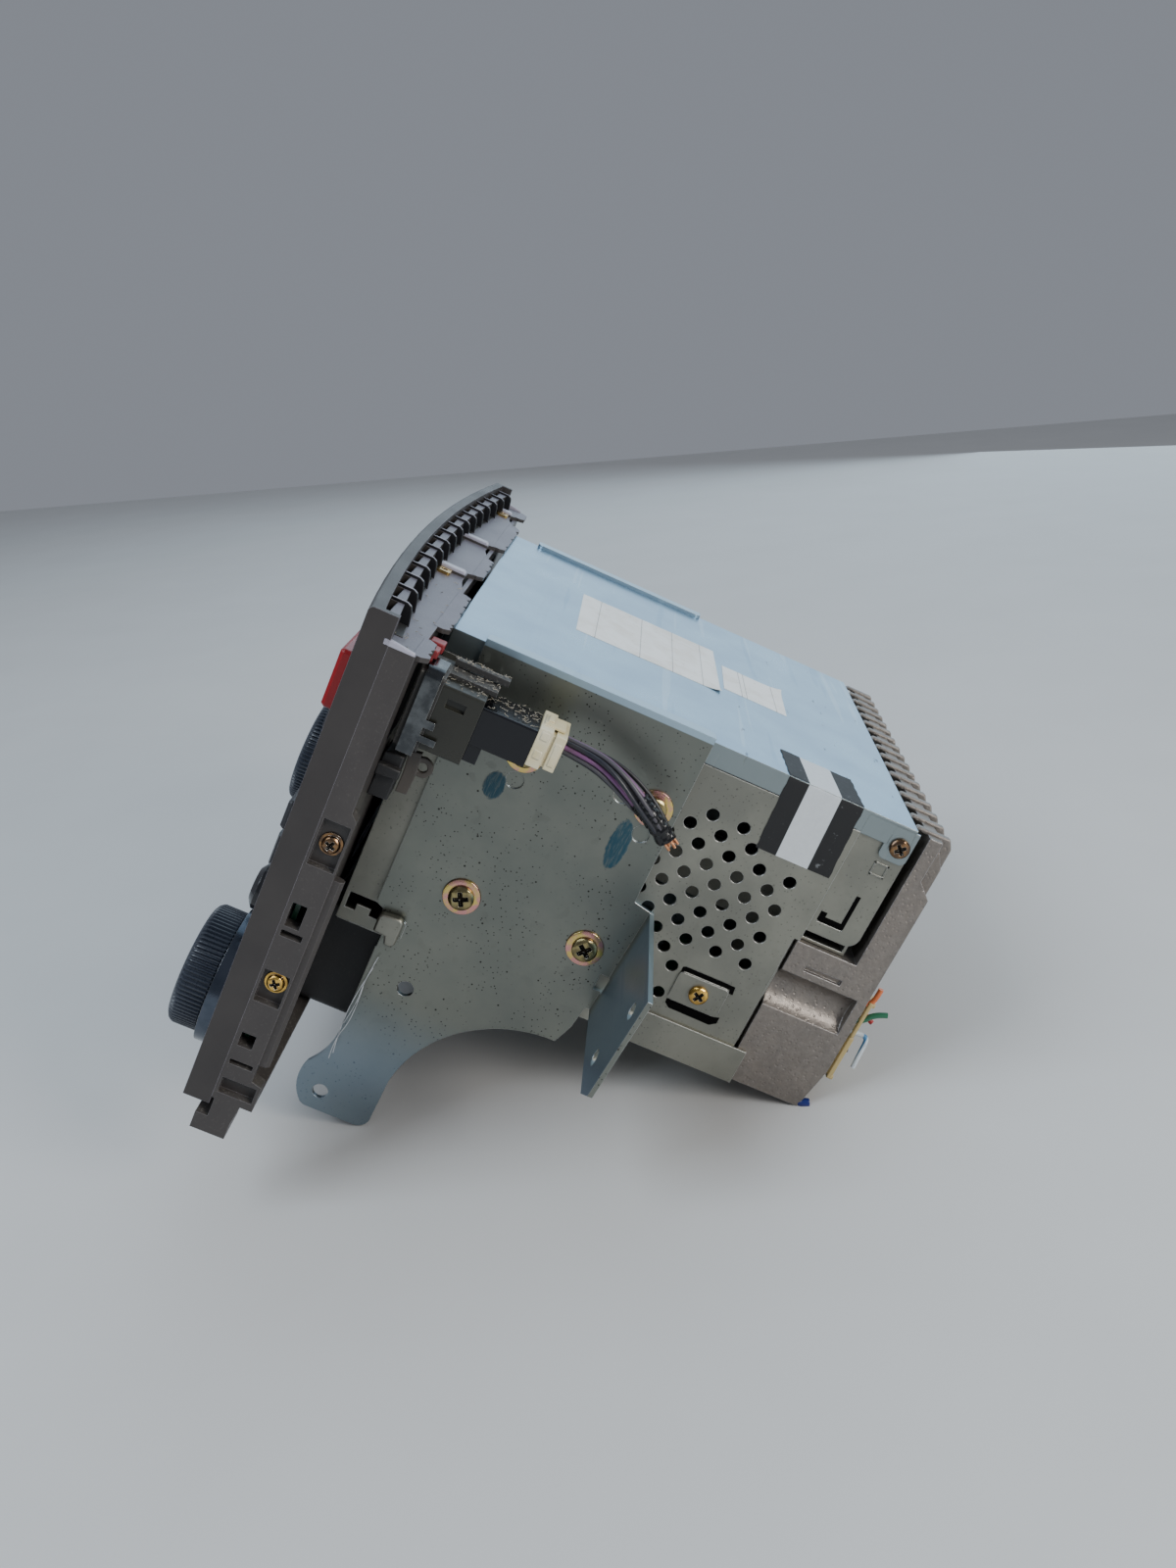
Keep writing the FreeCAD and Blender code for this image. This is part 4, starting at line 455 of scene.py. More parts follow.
def display_glass():
    paint = Paint("display_glass")
    tone = paint.mix(paint.noise(1.4, 2), (0.012, 0.02, 0.024), (0.02, 0.032, 0.036))
    paint.finish(Base_Color=tone, Roughness=0.2, rounding=0.3)


def unlit_gap():
    # Painted shade: a near-black matt sheet for the shaded inside of an opening.
    paint = Paint("unlit_gap")
    tone = paint.mix(paint.noise(1.2, 3), (0.001, 0.001, 0.001), (0.004, 0.004, 0.004))
    paint.finish(Base_Color=tone, Roughness=0.95, Specular_IOR_Level=0.05, rounding=0.0)


def printing(name, colour):
    paint = Paint(name)
    worn = paint.noise(0.8, 3, 0.7).above(0.7, 0.05)
    tone = paint.mix(worn * 0.5, colour, (0.1, 0.1, 0.11))
    paint.finish(Base_Color=tone, Roughness=0.5, rounding=0.0)


def wire_cover(name, colour, rough=0.28, stripe=None):
    paint = Paint(name)
    grime = paint.noise(3.5, 3)
    tone = paint.mix(grime.above(0.6, 0.15) * 0.4, colour, (0.05, 0.045, 0.04))
    if stripe:
        bands = (paint.axis("Y") * (math.tau / (6 * MM))).sine().above(0.75, 0.15)
        tone = paint.mix(bands, tone, stripe)
    paint.finish(Base_Color=tone, Roughness=rough + grime * 0.1, rounding=0.0)


smoked_window()
display_glass()
unlit_gap()
for name, colour in (("white_print", (0.75, 0.77, 0.78)), ("amber_print", (0.75, 0.32, 0.06)),
                     ("segment_print", (0.55, 0.8, 0.78))):
    printing(name, colour)
WIRES = (("wire_purple", (0.15, 0.055, 0.15)), ("wire_black", (0.012, 0.011, 0.013)),
         ("wire_violet", (0.13, 0.07, 0.2)), ("wire_plum", (0.17, 0.08, 0.17)),
         ("wire_blue_black", (0.012, 0.013, 0.022)), ("wire_grey", (0.06, 0.056, 0.068)))
for name, colour in WIRES:
    wire_cover(name, colour)
wire_cover("white_thread", (0.55, 0.58, 0.62), 0.4)
print("finishes", len(FINISH))

# %% [markdown]
# Each solid now takes the finish of the real piece. Most of the model's slots have the name
# of a finish, and one small table translates the others.

# %% Dress the solids
OTHER_NAMES = {"zinc_sheet": "panel_zinc", "cover_sheet": "cover_zinc", "bracket_steel": "bracket_zinc",
               "wire_cover": "black_plastic", "tape": "tape_plastic", "window": "smoked_window",
               "circuit_board": "board_resist"}
for part in frame["record"]["subparts"]:
    slots = nodes[part["node"]].data.materials
    slots.clear()
    slots.append(FINISH[OTHER_NAMES.get(part["material_slot"], part["material_slot"])])
nodes["switch_base"].data.materials[0] = FINISH["dusty_plastic"]
print("dressed", len(nodes), "solids")

# %% [markdown]
# The unit lies on its side brackets' feet and on the rear edge of the casting, so the
# floor slopes in the model's own frame. The slope is worked out from those two lines.

# %% Lay the floor and set the light
foot_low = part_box("side_bracket_right")[0]
block_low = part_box("rear_heatsink")[0]
FOOT_Y = 36 * MM
REAR_Y = 170.3 * MM
FLOOR_HALF = 2.2
slope = math.atan2(block_low.z - foot_low.z, REAR_Y - FOOT_Y)


def linked(name, data, body=None):
    """An object in the scene, which rides on a body if one is given."""
    made = bpy.data.objects.new(name, data)
    bpy.context.scene.collection.objects.link(made)
    if body:
        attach(made, body)
    return made


def pale_floor():
    paint = Paint("pale_floor")
    tone = paint.mix(paint.noise(90, 3), (0.6, 0.595, 0.585), (0.66, 0.655, 0.645))
    paint.finish(Base_Color=tone, Roughness=0.75, rounding=0.0)
    mesh = bpy.data.meshes.new("floor")
    corners = [(x * FLOOR_HALF, y * FLOOR_HALF, 0) for x, y in ((-1, -1), (1, -1), (1, 1), (-1, 1))]
    mesh.from_pydata(corners, [], [(0, 1, 2, 3)])
    mesh.materials.append(FINISH["pale_floor"])
    made = linked("floor", mesh)
    made.matrix_world = Matrix.Translation((0, FOOT_Y, foot_low.z)) @ Matrix.Rotation(slope, 4, "X")


def soft_light(name, place, target, size, power, colour):
    data = bpy.data.lights.new(name, "AREA")
    data.size = size
    data.energy = power
    data.color = colour
    aim = (Vector(target) - Vector(place)).normalized()
    made = linked(name, data)
    made.matrix_world = Matrix.Translation(place) @ aim.to_track_quat("-Z", "Y").to_matrix().to_4x4()


pale_floor()
world = bpy.data.worlds.new("studio")
bpy.context.scene.world = world
world.use_nodes = True
background = world.node_tree.nodes["Background"]
background.inputs["Color"].default_value = (0.82, 0.88, 1.0, 1)
background.inputs["Strength"].default_value = 0.29
soft_light("sky", (-1.1, 0.1, 1.0), (0, 0.06, 0), 2.2, 17, (0.68, 0.86, 1.0))
soft_light("window", (0.9, 0.8, 1.0), (0, 0.08, 0), 0.6, 16, (1.0, 0.97, 0.92))
soft_light("front", (0.6, -1.0, 0.6), (0, 0, 0), 0.8, 12, (0.8, 0.9, 1.0))
print("floor slopes", round(math.degrees(slope), 1), "degrees")

# %% [markdown]
# The small pieces below are built as meshes, point by point. These helpers stitch rows of
# points into a skin, spin a profile round an axis, draw an outline out along an axis and
# lay a box, and turn the result into an object that rides on a body. A real workshop would
# turn, press or mould them.

# %% Helpers for small pieces
OUTWARD = {"right": Matrix.Rotation(math.pi / 2, 4, "Y"), "left": Matrix.Rotation(-math.pi / 2, 4, "Y"),
           "rear": Matrix.Rotation(-math.pi / 2, 4, "X")}


def settle(name, shape, finish, body="housing", crisp=35, soften=0.0):
    """Make an object of a mesh under construction, and let it ride on a body."""
    bmesh.ops.recalc_face_normals(shape, faces=shape.faces)
    data = bpy.data.meshes.new(name)
    shape.to_mesh(data)
    shape.free()
    data.polygons.foreach_set("use_smooth", [True] * len(data.polygons))
    data.set_sharp_from_angle(angle=math.radians(crisp))
    data.materials.append(FINISH[finish])
    made = linked(name, data)
    if soften:
        bevel = made.modifiers.new("soften", "BEVEL")
        bevel.width = soften * MM
        bevel.segments = 2
        bevel.limit_method = "ANGLE"
    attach(made, body)
    return made


def stitch(shape, rows, ring=True, closed=True):
    """Faces between rows of points, which run round if they are rings. A row may be a single
    point, where the skin closes, and a closed skin has a face over its first and last row."""
    count = max(len(row) for row in rows)
    for low, high in zip(rows, rows[1:]):
        for side in range(count if ring else count - 1):
            after = (side + 1) % count
            corners = (low[side % len(low)], low[after % len(low)], high[after % len(high)],
                       high[side % len(high)])
            shape.faces.new(list(dict.fromkeys(corners)))
    if closed:
        shape.faces.new(rows[0])
        shape.faces.new(list(reversed(rows[-1])))


def spin(shape, place, profile, sides=40):
    """Rings round the local Z axis; a radius of 0 closes the end."""
    rings = []
    for radius, height in profile:
        turns = [side / sides * math.tau for side in range(sides)] if radius else [0]
        rings.append([shape.verts.new(place @ Vector((
            math.cos(turn) * radius * MM, math.sin(turn) * radius * MM, height * MM))) for turn in turns])
    stitch(shape, rings, closed=False)


def block(shape, low, high, place=None):
    """A box between two corners in millimetres."""
    corners = [Vector((x, y, z)) * MM for x in (low[0], high[0]) for y in (low[1], high[1])
               for z in (low[2], high[2])]
    spots = [shape.verts.new(place @ corner if place else corner) for corner in corners]
    for face in ((0, 1, 3, 2), (4, 6, 7, 5), (0, 4, 5, 1), (2, 3, 7, 6), (0, 2, 6, 4), (1, 5, 7, 3)):
        shape.faces.new([spots[index] for index in face])


def blocks(name, boxes, finish, soften=0.0):
    """One piece made of several boxes."""
    shape = bmesh.new()
    for low, high in boxes:
        block(shape, low, high)
    return settle(name, shape, finish, soften=soften)


def prisms(name, drawn, finish, soften=0.0, upright=False):
    """One piece made of flat outlines in millimetres, drawn out along X, or upwards."""
    shape = bmesh.new()
    for outline, low, high in drawn:
        stitch(shape, [[shape.verts.new(Vector((*pair, along) if upright else (along, *pair)) * MM)
                        for pair in outline] for along in (low, high)])
    return settle(name, shape, finish, soften=soften)


def border(across, along):
    """The outer points of a grid, once round."""
    return ([(i, 0) for i in range(across)] + [(across, j) for j in range(along)]
            + [(across - i, along) for i in range(across)] + [(0, along - j) for j in range(along)])


def millimetres(node):
    """Low and high corner of a node, and the middle between them."""
    low, high = (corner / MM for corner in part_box(node))
    return low, high, (low + high) / 2


def loose_solids(name):
    """Middle of each separate solid in a node, and how far out from the unit it reaches.
    They come in the order of their first points, which is the same in each run."""
    shape = bmesh.new()
    shape.from_mesh(nodes[name].data)
    bmesh.ops.remove_doubles(shape, verts=shape.verts, dist=2e-6)
    left = dict.fromkeys(shape.verts)
    found = []
    while left:
        waiting = [next(iter(left))]
        del left[waiting[0]]
        spots = []
        while waiting:
            vertex = waiting.pop()
            spots.append(vertex.co.copy())
            for edge in vertex.link_edges:
                other = edge.other_vert(vertex)
                if other in left:
                    del left[other]
                    waiting.append(other)
        low, high = (Vector(pick(spot[i] for spot in spots) for i in range(3)) for pick in (min, max))
        middle = (low + high) / 2
        found.append((middle, high.x if middle.x > 0 else low.x))
    shape.free()
    return found


print("bracket screws in the model", len(loose_solids("bracket_screws")))

# %% [markdown]
# The hazard switch's harness is a short bundle, cut off behind its tape. Its middle line
# is one smooth curve through the same points as the solid, and the separate wires wind
# round it.

# %% Lay the wire bundle
switch_middle = millimetres("switch_housing")[2]
PLUG = Vector((switch_middle.x, millimetres("harness_plug")[1].y, switch_middle.z + 5))
ROUTE = [(PLUG + Vector(step)) * MM for step in (
    (0, 0, 0), (0, 10, 0), (0.8, 19, -2.5), (1, 27, -6.5), (1.2, 34, -10), (1, 40, -14.5))]
BUNDLE = 2.2 * MM
WIRE_COUNT = 9


def smooth_curve(name, points, radius, finish, resolution=12):
    data = bpy.data.curves.new(name, "CURVE")
    data.dimensions = "3D"
    data.bevel_depth = radius
    data.bevel_resolution = 4
    data.use_fill_caps = True
    data.resolution_u = resolution
    spline = data.splines.new("NURBS")
    spline.points.add(len(points) - 1)
    for point, place in zip(spline.points, points):
        point.co = (*place, 1)
    spline.order_u = 3
    spline.use_endpoint_u = True
    data.materials.append(FINISH[finish])
    return linked(name, data)


def meshed(curve):
    """The mesh that a curve makes at this moment."""
    bpy.context.view_layer.update()
    return bpy.data.meshes.new_from_object(curve.evaluated_get(bpy.context.evaluated_depsgraph_get()))


def line_points(curve):
    """Points along a curve's middle line, read from the curve with no thickness."""
    depth = curve.data.bevel_depth
    curve.data.bevel_depth = 0
    mesh = meshed(curve)
    points = [vertex.co.copy() for vertex in mesh.vertices]
    bpy.data.meshes.remove(mesh)
    curve.data.bevel_depth = depth
    return points


def around(direction):
    """A function that gives the way out from a line that runs in a direction, by angle."""
    across = direction.cross(Vector((0, 0, 1))).normalized()
    over = direction.cross(across).normalized()
    return lambda angle: across * math.cos(angle) + over * math.sin(angle)


bundle = smooth_curve("harness_core", ROUTE, BUNDLE, "black_plastic")
bundle_line = line_points(bundle)
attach(bundle, "housing")
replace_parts(bundle, "hazard_harness")
print("bundle line has", len(bundle_line), "points")

# %% [markdown]
# Nine wires lie round the bundle's middle and drift a little as they go. They bow out of
# the bundle by three different amounts, as loose wires do.

# %% Wires round the bundle
EVERY = 6
TWIST = 1.3
WIRE_RING = 2.1
WIRE_HALF = 0.72


def wound_wire(name, turn, slack, finish):
    points = []
    last = len(bundle_line) - 1
    for index in range(0, len(bundle_line), EVERY):
        share = index / len(bundle_line)
        ahead = bundle_line[min(index + 3, last)] - bundle_line[max(index - 3, 0)]
        loose = (WIRE_RING + math.sin(share * math.pi) * slack) * MM
        points.append(bundle_line[index] + around(ahead.normalized())(turn + TWIST * share) * loose)
    made = smooth_curve(name, points, WIRE_HALF * MM, finish, 4)
    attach(made, "housing")
    return made


wires = [wound_wire(f"harness_wire_{index + 1}", index * math.tau / WIRE_COUNT, 0.1 + 0.85 * (index % 3),
                    WIRES[(index * 5) % len(WIRES)][0]) for index in range(WIRE_COUNT)]
print("wires", len(wires))

# %% [markdown]
# Vinyl tape holds the cut end. It is wound in overlapping turns, so each turn makes a
# small step, and bare strands of copper stick out behind it.

# %% Tape and copper ends
TAPE_SIDES = 28
TAPE_TURNS = 6
TAPE_RADIUS, TAPE_STEP, TAPE_CREASE = 3.0, 0.34, 0.16


def tape_wrap():
    line = [place for place in bundle_line if place.y > (ROUTE[3].y - 0.5 * MM)]
    last = len(line) - 1
    shape = bmesh.new()
    rings = []
    for index, place in enumerate(line):
        out_at = around((line[min(index + 1, last)] - line[max(index - 1, 0)]).normalized())
        ring = []
        for side in range(TAPE_SIDES):
            angle = side / TAPE_SIDES * math.tau
            step = (index / last * TAPE_TURNS + angle / math.tau) % 1
            crease = math.sin(angle * 5 + index * 0.9) * math.sin(index * 0.7 + angle)
            reach = TAPE_RADIUS + TAPE_STEP * step + TAPE_CREASE * crease
            ring.append(shape.verts.new(place + out_at(angle) * reach * MM))
        rings.append(ring)
    stitch(shape, rings)
    made = settle("tape_wrap", shape, "tape_plastic", crisp=0)
    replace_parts(made, "harness_tape")
    return made


def copper_ends():
    random.seed(4)
    direction = (ROUTE[-1] - ROUTE[-2]).normalized()
    out_at = around(direction)
    made = []
    for index in range(WIRE_COUNT):
        reach = 0.6 * MM + 1.6 * MM * (index % 3) / 2
        foot = ROUTE[-1] - direction * 2.5 * MM + out_at(index * 2.4) * reach
        tip = foot + direction * (4.2 + 1.2 * random.random()) * MM
        tip += Vector((random.uniform(-0.5, 0.5), 0, random.uniform(-0.5, 0.5))) * MM
        made.append(smooth_curve(f"copper_end_{index + 1}", [foot, (foot + tip) / 2, tip], 0.45 * MM,
                                 "copper_strand", 4))
        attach(made[-1], "housing")
    return made


tape = tape_wrap()
strands = copper_ends()
print("tape and", len(strands), "strands")

# %% [markdown]
# A machine screw has a pan head with a cross pressed into it. The head here is a grid that
# is mapped from a square to a disc; its lines run along the arms of the cross, so the
# recess stays crisp. The washers are coned a little and carry the rainbow of yellow zinc.

# %% Screws and washers
HALF_LINES = (0.13, 0.19, 0.36, 0.54, 0.6, 0.68, 0.8, 0.93, 1)
HEAD_LINES = (*(-line for line in reversed(HALF_LINES)), 0, *HALF_LINES)
FLOOR_WIDE, FLOOR_LONG = 0.13, 0.54
ARM_WIDE, ARM_LONG = 0.19, 0.6
SUNK = 0.8
SKIRT = 0.6
BRACKET_FACE = 90.6
WASHER_HIGH = 0.95
TURN_STEP = 1.77


def in_cross(u, v, wide, long):
    narrow, far = sorted((abs(u), abs(v)))
    return narrow <= wide and far <= long


def cross_head(shape, place, radius, height):
    grid = {}
    for i, u in enumerate(HEAD_LINES):
        for j, v in enumerate(HEAD_LINES):
            across = u * math.sqrt(1 - v * v / 2)
            up = v * math.sqrt(1 - u * u / 2)
            rise = height * (1 - 0.42 * max(abs(u), abs(v)) ** 5 - 0.08 * (across ** 2 + up ** 2))
            if in_cross(u, v, FLOOR_WIDE, FLOOR_LONG):
                rise -= height * SUNK * (1 - 0.3 * max(abs(u), abs(v)) / FLOOR_LONG)
            grid[i, j] = shape.verts.new(place @ (Vector((across * radius, up * radius, rise)) * MM))
    last = len(HEAD_LINES) - 1
    for i in range(last):
        for j in range(last):
            face = shape.faces.new((grid[i, j], grid[i + 1, j], grid[i + 1, j + 1], grid[i, j + 1]))
            u, v = ((HEAD_LINES[k] + HEAD_LINES[k + 1]) / 2 for k in (i, j))
            # Faces inside the cross take the second finish, which is painted shade.
            face.material_index = int(in_cross(u, v, ARM_WIDE, ARM_LONG))
    rim = [grid[spot] for spot in border(last, last)]
    inward = place.inverted()
    under = []
    for vertex in rim:
        local = inward @ vertex.co
        under.append(shape.verts.new(place @ Vector((local.x, local.y, -SKIRT * MM))))
    stitch(shape, [rim, under], closed=False)


def side_place(outer, sunk, middle, turn=0.0):
    """A place on the unit's side, some millimetres further in than a point far out."""
    way, facing = (1, OUTWARD["right"]) if outer > 0 else (-1, OUTWARD["left"])
    spot = (outer - way * sunk * MM, middle.y, middle.z)
    return Matrix.Translation(spot) @ facing @ Matrix.Rotation(turn, 4, "Z")


heads, washers, copper_heads, gold_heads = (bmesh.new() for _ in range(4))
CONE = ((0, 0.02), (5.0, 0.02), (6.35, 0.05), (6.42, 0.35), (6.25, 0.78), (5.6, 0.98), (4.4, 1.05), (0, 1.05))
COLLAR = ((0, 0.02), (3.55, 0.02), (3.65, 0.3), (3.55, 0.6), (2.7, 0.7), (0, 0.7))
for index, (middle, _) in enumerate(loose_solids("bracket_screws")):
    plate = math.copysign(BRACKET_FACE * MM, middle.x)
    spin(washers, side_place(plate, 0, middle), CONE)
    cross_head(heads, side_place(plate, -WASHER_HIGH, middle, index * TURN_STEP - 0.35), 4.3, 1.9)
for index, (middle, outer) in enumerate(loose_solids("cover_screws")):
    into = copper_heads if middle.z > 0 else gold_heads
    cross_head(into, side_place(outer, 1.8, middle, index * 1.3), 3.3, 1.75)
for index, (middle, outer) in enumerate(loose_solids("face_screws")):
    into = copper_heads if middle.z > -30 * MM else gold_heads
    spin(into, side_place(outer, 2.2, middle), COLLAR, 32)
    cross_head(into, side_place(outer, 1.6, middle, 0.7 + index), 2.7, 1.55)
for name, shape, finish, node in (("bracket_screw_heads", heads, "olive_head", "bracket_screws"),
                                  ("bracket_washers", washers, "washer_steel", None),
                                  ("copper_screw_heads", copper_heads, "copper_head", "cover_screws"),
                                  ("gold_screw_heads", gold_heads, "gold_head", "face_screws")):
    piece = settle(name, shape, finish)
    if node:
        # The second finish, painted shade, darkens the cross recess.
        piece.data.materials.append(FINISH["recess_shade"])
        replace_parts(piece, node)
print("screw heads made")

# %% [markdown]
# The lid carries two paper stickers and, over its rear edge, a tamper seal. Here they are
# left bare: plain paper with thin ruled lines, and a seal of two black bands on a pale
# film. Each is a thin sheet on the lid, a little scuffed, with a corner that has lifted.

# %% Bare stickers and the seal
LID_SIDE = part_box("top_cover")[1].x / MM
LID_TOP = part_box("top_cover")[1].z / MM
STEPS_ACROSS, STEPS_ALONG = 24, 26
RULE_HALF = 0.16 * MM
RULE_SOFT = 0.08 * MM
RULE_GREY = (0.2, 0.2, 0.21)
SHEET_THICK = 0.09
SHEET_SUNK = 0.08
CURL_REACH, CURL_HIGH = 7, 0.9


def sticker_paper(name, rules):
    """Paper with thin lines ruled across it, at places along Y."""
    paint = Paint(name)
    dirt = paint.noise(12, 4, 0.6)
    tone = paint.mix(dirt.above(0.56, 0.14) * 0.6, (0.86, 0.87, 0.86), (0.7, 0.68, 0.62))
    tone = paint.mix(paint.noise(3, 3, 0.8).above(0.68, 0.02) * 0.7, tone, (0.4, 0.38, 0.33))
    for value in rules:
        off = paint.axis("Y") - value * MM
        tone = paint.mix((1 - (off * off).above(RULE_HALF ** 2, RULE_SOFT ** 2)) * 0.65, tone, RULE_GREY)
    paint.finish(height=paint.noise(1.0, 3, 0.7), depth=0.02, rounding=0.0, Base_Color=tone,
                 Roughness=0.45 + dirt * 0.2)


def sticker(name, x0, y0, x1, y1, finish, lifted, turn):
    """A sheet on the lid, turned a little, with one corner lifted."""
    shape = bmesh.new()
    middle = Vector(((x0 + x1) / 2, (y0 + y1) / 2, 0))
    tilt = Matrix.Rotation(turn, 3, "Z")
    top, base = {}, {}
    for i in range(STEPS_ACROSS + 1):
        for j in range(STEPS_ALONG + 1):
            flat = Vector((x0 + (x1 - x0) * i / STEPS_ACROSS, y0 + (y1 - y0) * j / STEPS_ALONG, 0))
            near = max(0.0, 1 - (flat - Vector((*lifted, 0))).length / CURL_REACH)
            wave = 0.05 * math.sin(flat.x * 0.7) * math.sin(flat.y * 0.5 + 1)
            spot = middle + tilt @ (flat - middle)
            spot.z = LID_TOP + 0.1 + near * near * CURL_HIGH
            top[i, j] = shape.verts.new((spot + Vector((0, 0, SHEET_THICK + max(wave, 0)))) * MM)
            base[i, j] = shape.verts.new((spot - Vector((0, 0, SHEET_SUNK))) * MM)
    for grid in (top, base):
        for i in range(STEPS_ACROSS):
            for j in range(STEPS_ALONG):
                shape.faces.new((grid[i, j], grid[i + 1, j], grid[i + 1, j + 1], grid[i, j + 1]))
    edge = border(STEPS_ACROSS, STEPS_ALONG)
    stitch(shape, [[grid[spot] for spot in edge] for grid in (top, base)], closed=False)
    settle(name, shape, finish)


sticker_paper("large_paper", (43.5, 61, 74, 86))
sticker_paper("small_paper", (102, 104, 116))
sticker("large_sticker", -34.4, 36, 25.6, 92.6, "large_paper", (25.6, 92.6), 0.012)
sticker("small_sticker", -16.6, 95, 17, 120.2, "small_paper", (-16.6, 120.2), -0.02)

SEAL_SKEW = 0.04
SEAL_INNER, SEAL_FRONT, SEAL_FOOT = 64.2, 112.8, 27.8
SEAL_WIDE = 26
SEAL_BEND = 0.7
SEAL_LIFT = 0.12
SEAL_STEPS = 12


def seal_film():
    paint = Paint("seal_film")
    fine = paint.noise(1.5, 3, 0.7)
    place = paint.axis("Y") - ((paint.axis("X") - 89 * MM) + (54 * MM - paint.axis("Z"))) * SEAL_SKEW
    bands = (1 - place.above(120.8 * MM, 0.12 * MM)).highest(place.above(132.0 * MM, 0.12 * MM))
    bands = bands * (1 - paint.noise(4, 4, 0.7).above(0.66, 0.04) * 0.2)
    pale = paint.mix(fine, (0.6, 0.64, 0.66), (0.5, 0.53, 0.56))
    tone = paint.mix(bands, pale, (0.006, 0.006, 0.007))
    paint.finish(height=fine, depth=0.03, rounding=0.0, Base_Color=tone,
                 Roughness=0.3 + bands * 0.25 + fine * 0.12)


def seal_path():
    """Points (x, z) across the lid, round its bend and down the side."""
    inner, upper = LID_SIDE - SEAL_BEND, LID_TOP - SEAL_BEND
    shares = [step / SEAL_STEPS for step in range(SEAL_STEPS + 1)]
    bend = [step / 6 * math.pi / 2 for step in range(1, 6)]
    far = SEAL_BEND + SEAL_LIFT
    return ([(SEAL_INNER + (inner - SEAL_INNER) * share, LID_TOP + SEAL_LIFT) for share in shares]
            + [(inner + far * math.sin(turn), upper + far * math.cos(turn)) for turn in bend]
            + [(LID_SIDE + SEAL_LIFT, upper - (upper - SEAL_FOOT) * share) for share in shares])


def seal_strip():
    shape = bmesh.new()
    path = seal_path()
    rows = []
    run = 0.0
    for index, (x, z) in enumerate(path):
        if index:
            run += math.dist(path[index - 1], (x, z))
        ragged = 0.12 * math.sin(run * 2.1) + 0.08 * math.sin(run * 5.3)
        start = SEAL_FRONT + run * SEAL_SKEW + (ragged if 0 < index < len(path) - 1 else 0)
        away = Vector((1, 0, 0) if z < LID_TOP - SEAL_BEND else (0, 0, 1))
        row = []
        for step in range(SEAL_STEPS + 1):
            ripple = 0.05 + 0.05 * math.sin(step * 1.1 + run * 0.35)
            spot = Vector((x, start + SEAL_WIDE * step / SEAL_STEPS, z)) + away * ripple
            row.append(shape.verts.new(spot * MM))
        rows.append(row)
    stitch(shape, rows, ring=False, closed=False)
    settle("tamper_seal", shape, "seal_film", crisp=60)


seal_film()
seal_strip()
print("stickers and seal on the lid, top at", round(LID_TOP, 1), "mm")

# %% [markdown]
# Behind the fascia's lip stands a comb: thin upright plates that stiffen the long bowed
# moulding and keep its top edge off the dashboard. Seen from above they are a row of
# black teeth whose thin tops are painted bright, a painted highlight, so they get a finish of their own.

# %% The comb behind the lip
FACE_HALF, FACE_DEEP = 138, 7
BOW = (FACE_HALF ** 2 + FACE_DEEP ** 2) / (2 * FACE_DEEP)
FACE_FRONT = -27
COMB_PITCH = 16.2
COMB_FOOT, COMB_TOP = 54.6, 62.2
COMB_HALF = 0.55
FLOOR_LOW, FLOOR_HIGH = 55.2, 55.85
FLOOR_STEP = 4.85
BEHIND_FACE = 2.9


def bow_front(x):
    """How far ahead the fascia's face lies at x, in millimetres."""
    return FACE_FRONT + BOW - math.sqrt(BOW * BOW - x * x)


def comb_plastic():
    paint = Paint("comb_plastic")
    grain = paint.noise(0.8, 2)
    # Upward tops are painted pale grey, a painted highlight; the rest is near black.
    tone = paint.mix(paint.facing("Z").above(0.75, 0.15), (0.008, 0.008, 0.01), (0.26, 0.25, 0.3))
    paint.finish(height=grain, depth=0.02, rounding=0.3, Base_Color=tone, Roughness=0.3 + grain * 0.1)


def comb_rib(x):
    front = bow_front(x) + BEHIND_FACE
    back = front + 8.2
    side = ((front, COMB_FOOT), (back + 0.8, COMB_FOOT), (back, COMB_TOP - 2.2), (back - 0.6, COMB_TOP - 0.7),
            (back - 2.0, COMB_TOP), (front, COMB_TOP))
    return side, x - COMB_HALF, x + COMB_HALF


def comb_floor():
    shape = bmesh.new()
    rows = []
    for step in range(-26, 27):
        x = step * FLOOR_STEP
        front = bow_front(x) + BEHIND_FACE
        rows.append([shape.verts.new(Vector((x, y, z)) * MM) for y, z in (
            (front, FLOOR_LOW), (front, FLOOR_HIGH), (front + 8.4, FLOOR_HIGH), (front + 8.4, FLOOR_LOW))])
    stitch(shape, rows)
    settle("comb_floor", shape, "black_plastic")


comb_plastic()
prisms("comb_ribs", [comb_rib(index * COMB_PITCH) for index in range(-8, 8)], "comb_plastic", 0.25)
comb_floor()
print("comb made")

# %% [markdown]
# The frame's tabs are parted by raised rails, painted pale along their length, a painted highlight on black
# plastic.
# A ridge closes the frame's end, and the red lamp holder of the hazard button looks out
# between the tabs and the switch. Under the switch the frame grows a black arm and a
# brown strap with an eye.

# %% Rails, end ridge, lamp holder and arm
prisms("tab_rails", [(((-ahead, 55.7), (-6.4, 55.7), (-6.4, 57.0), (-7.2, 57.6), (0.4 - ahead, 57.6),
                       (-ahead, 57.0)), x - 4.4, x - 0.2)
                     for x, ahead in ((31, 16.6), (-30.5, 16.6), (-114, 11.6))], "highlight_plastic", 0.3)
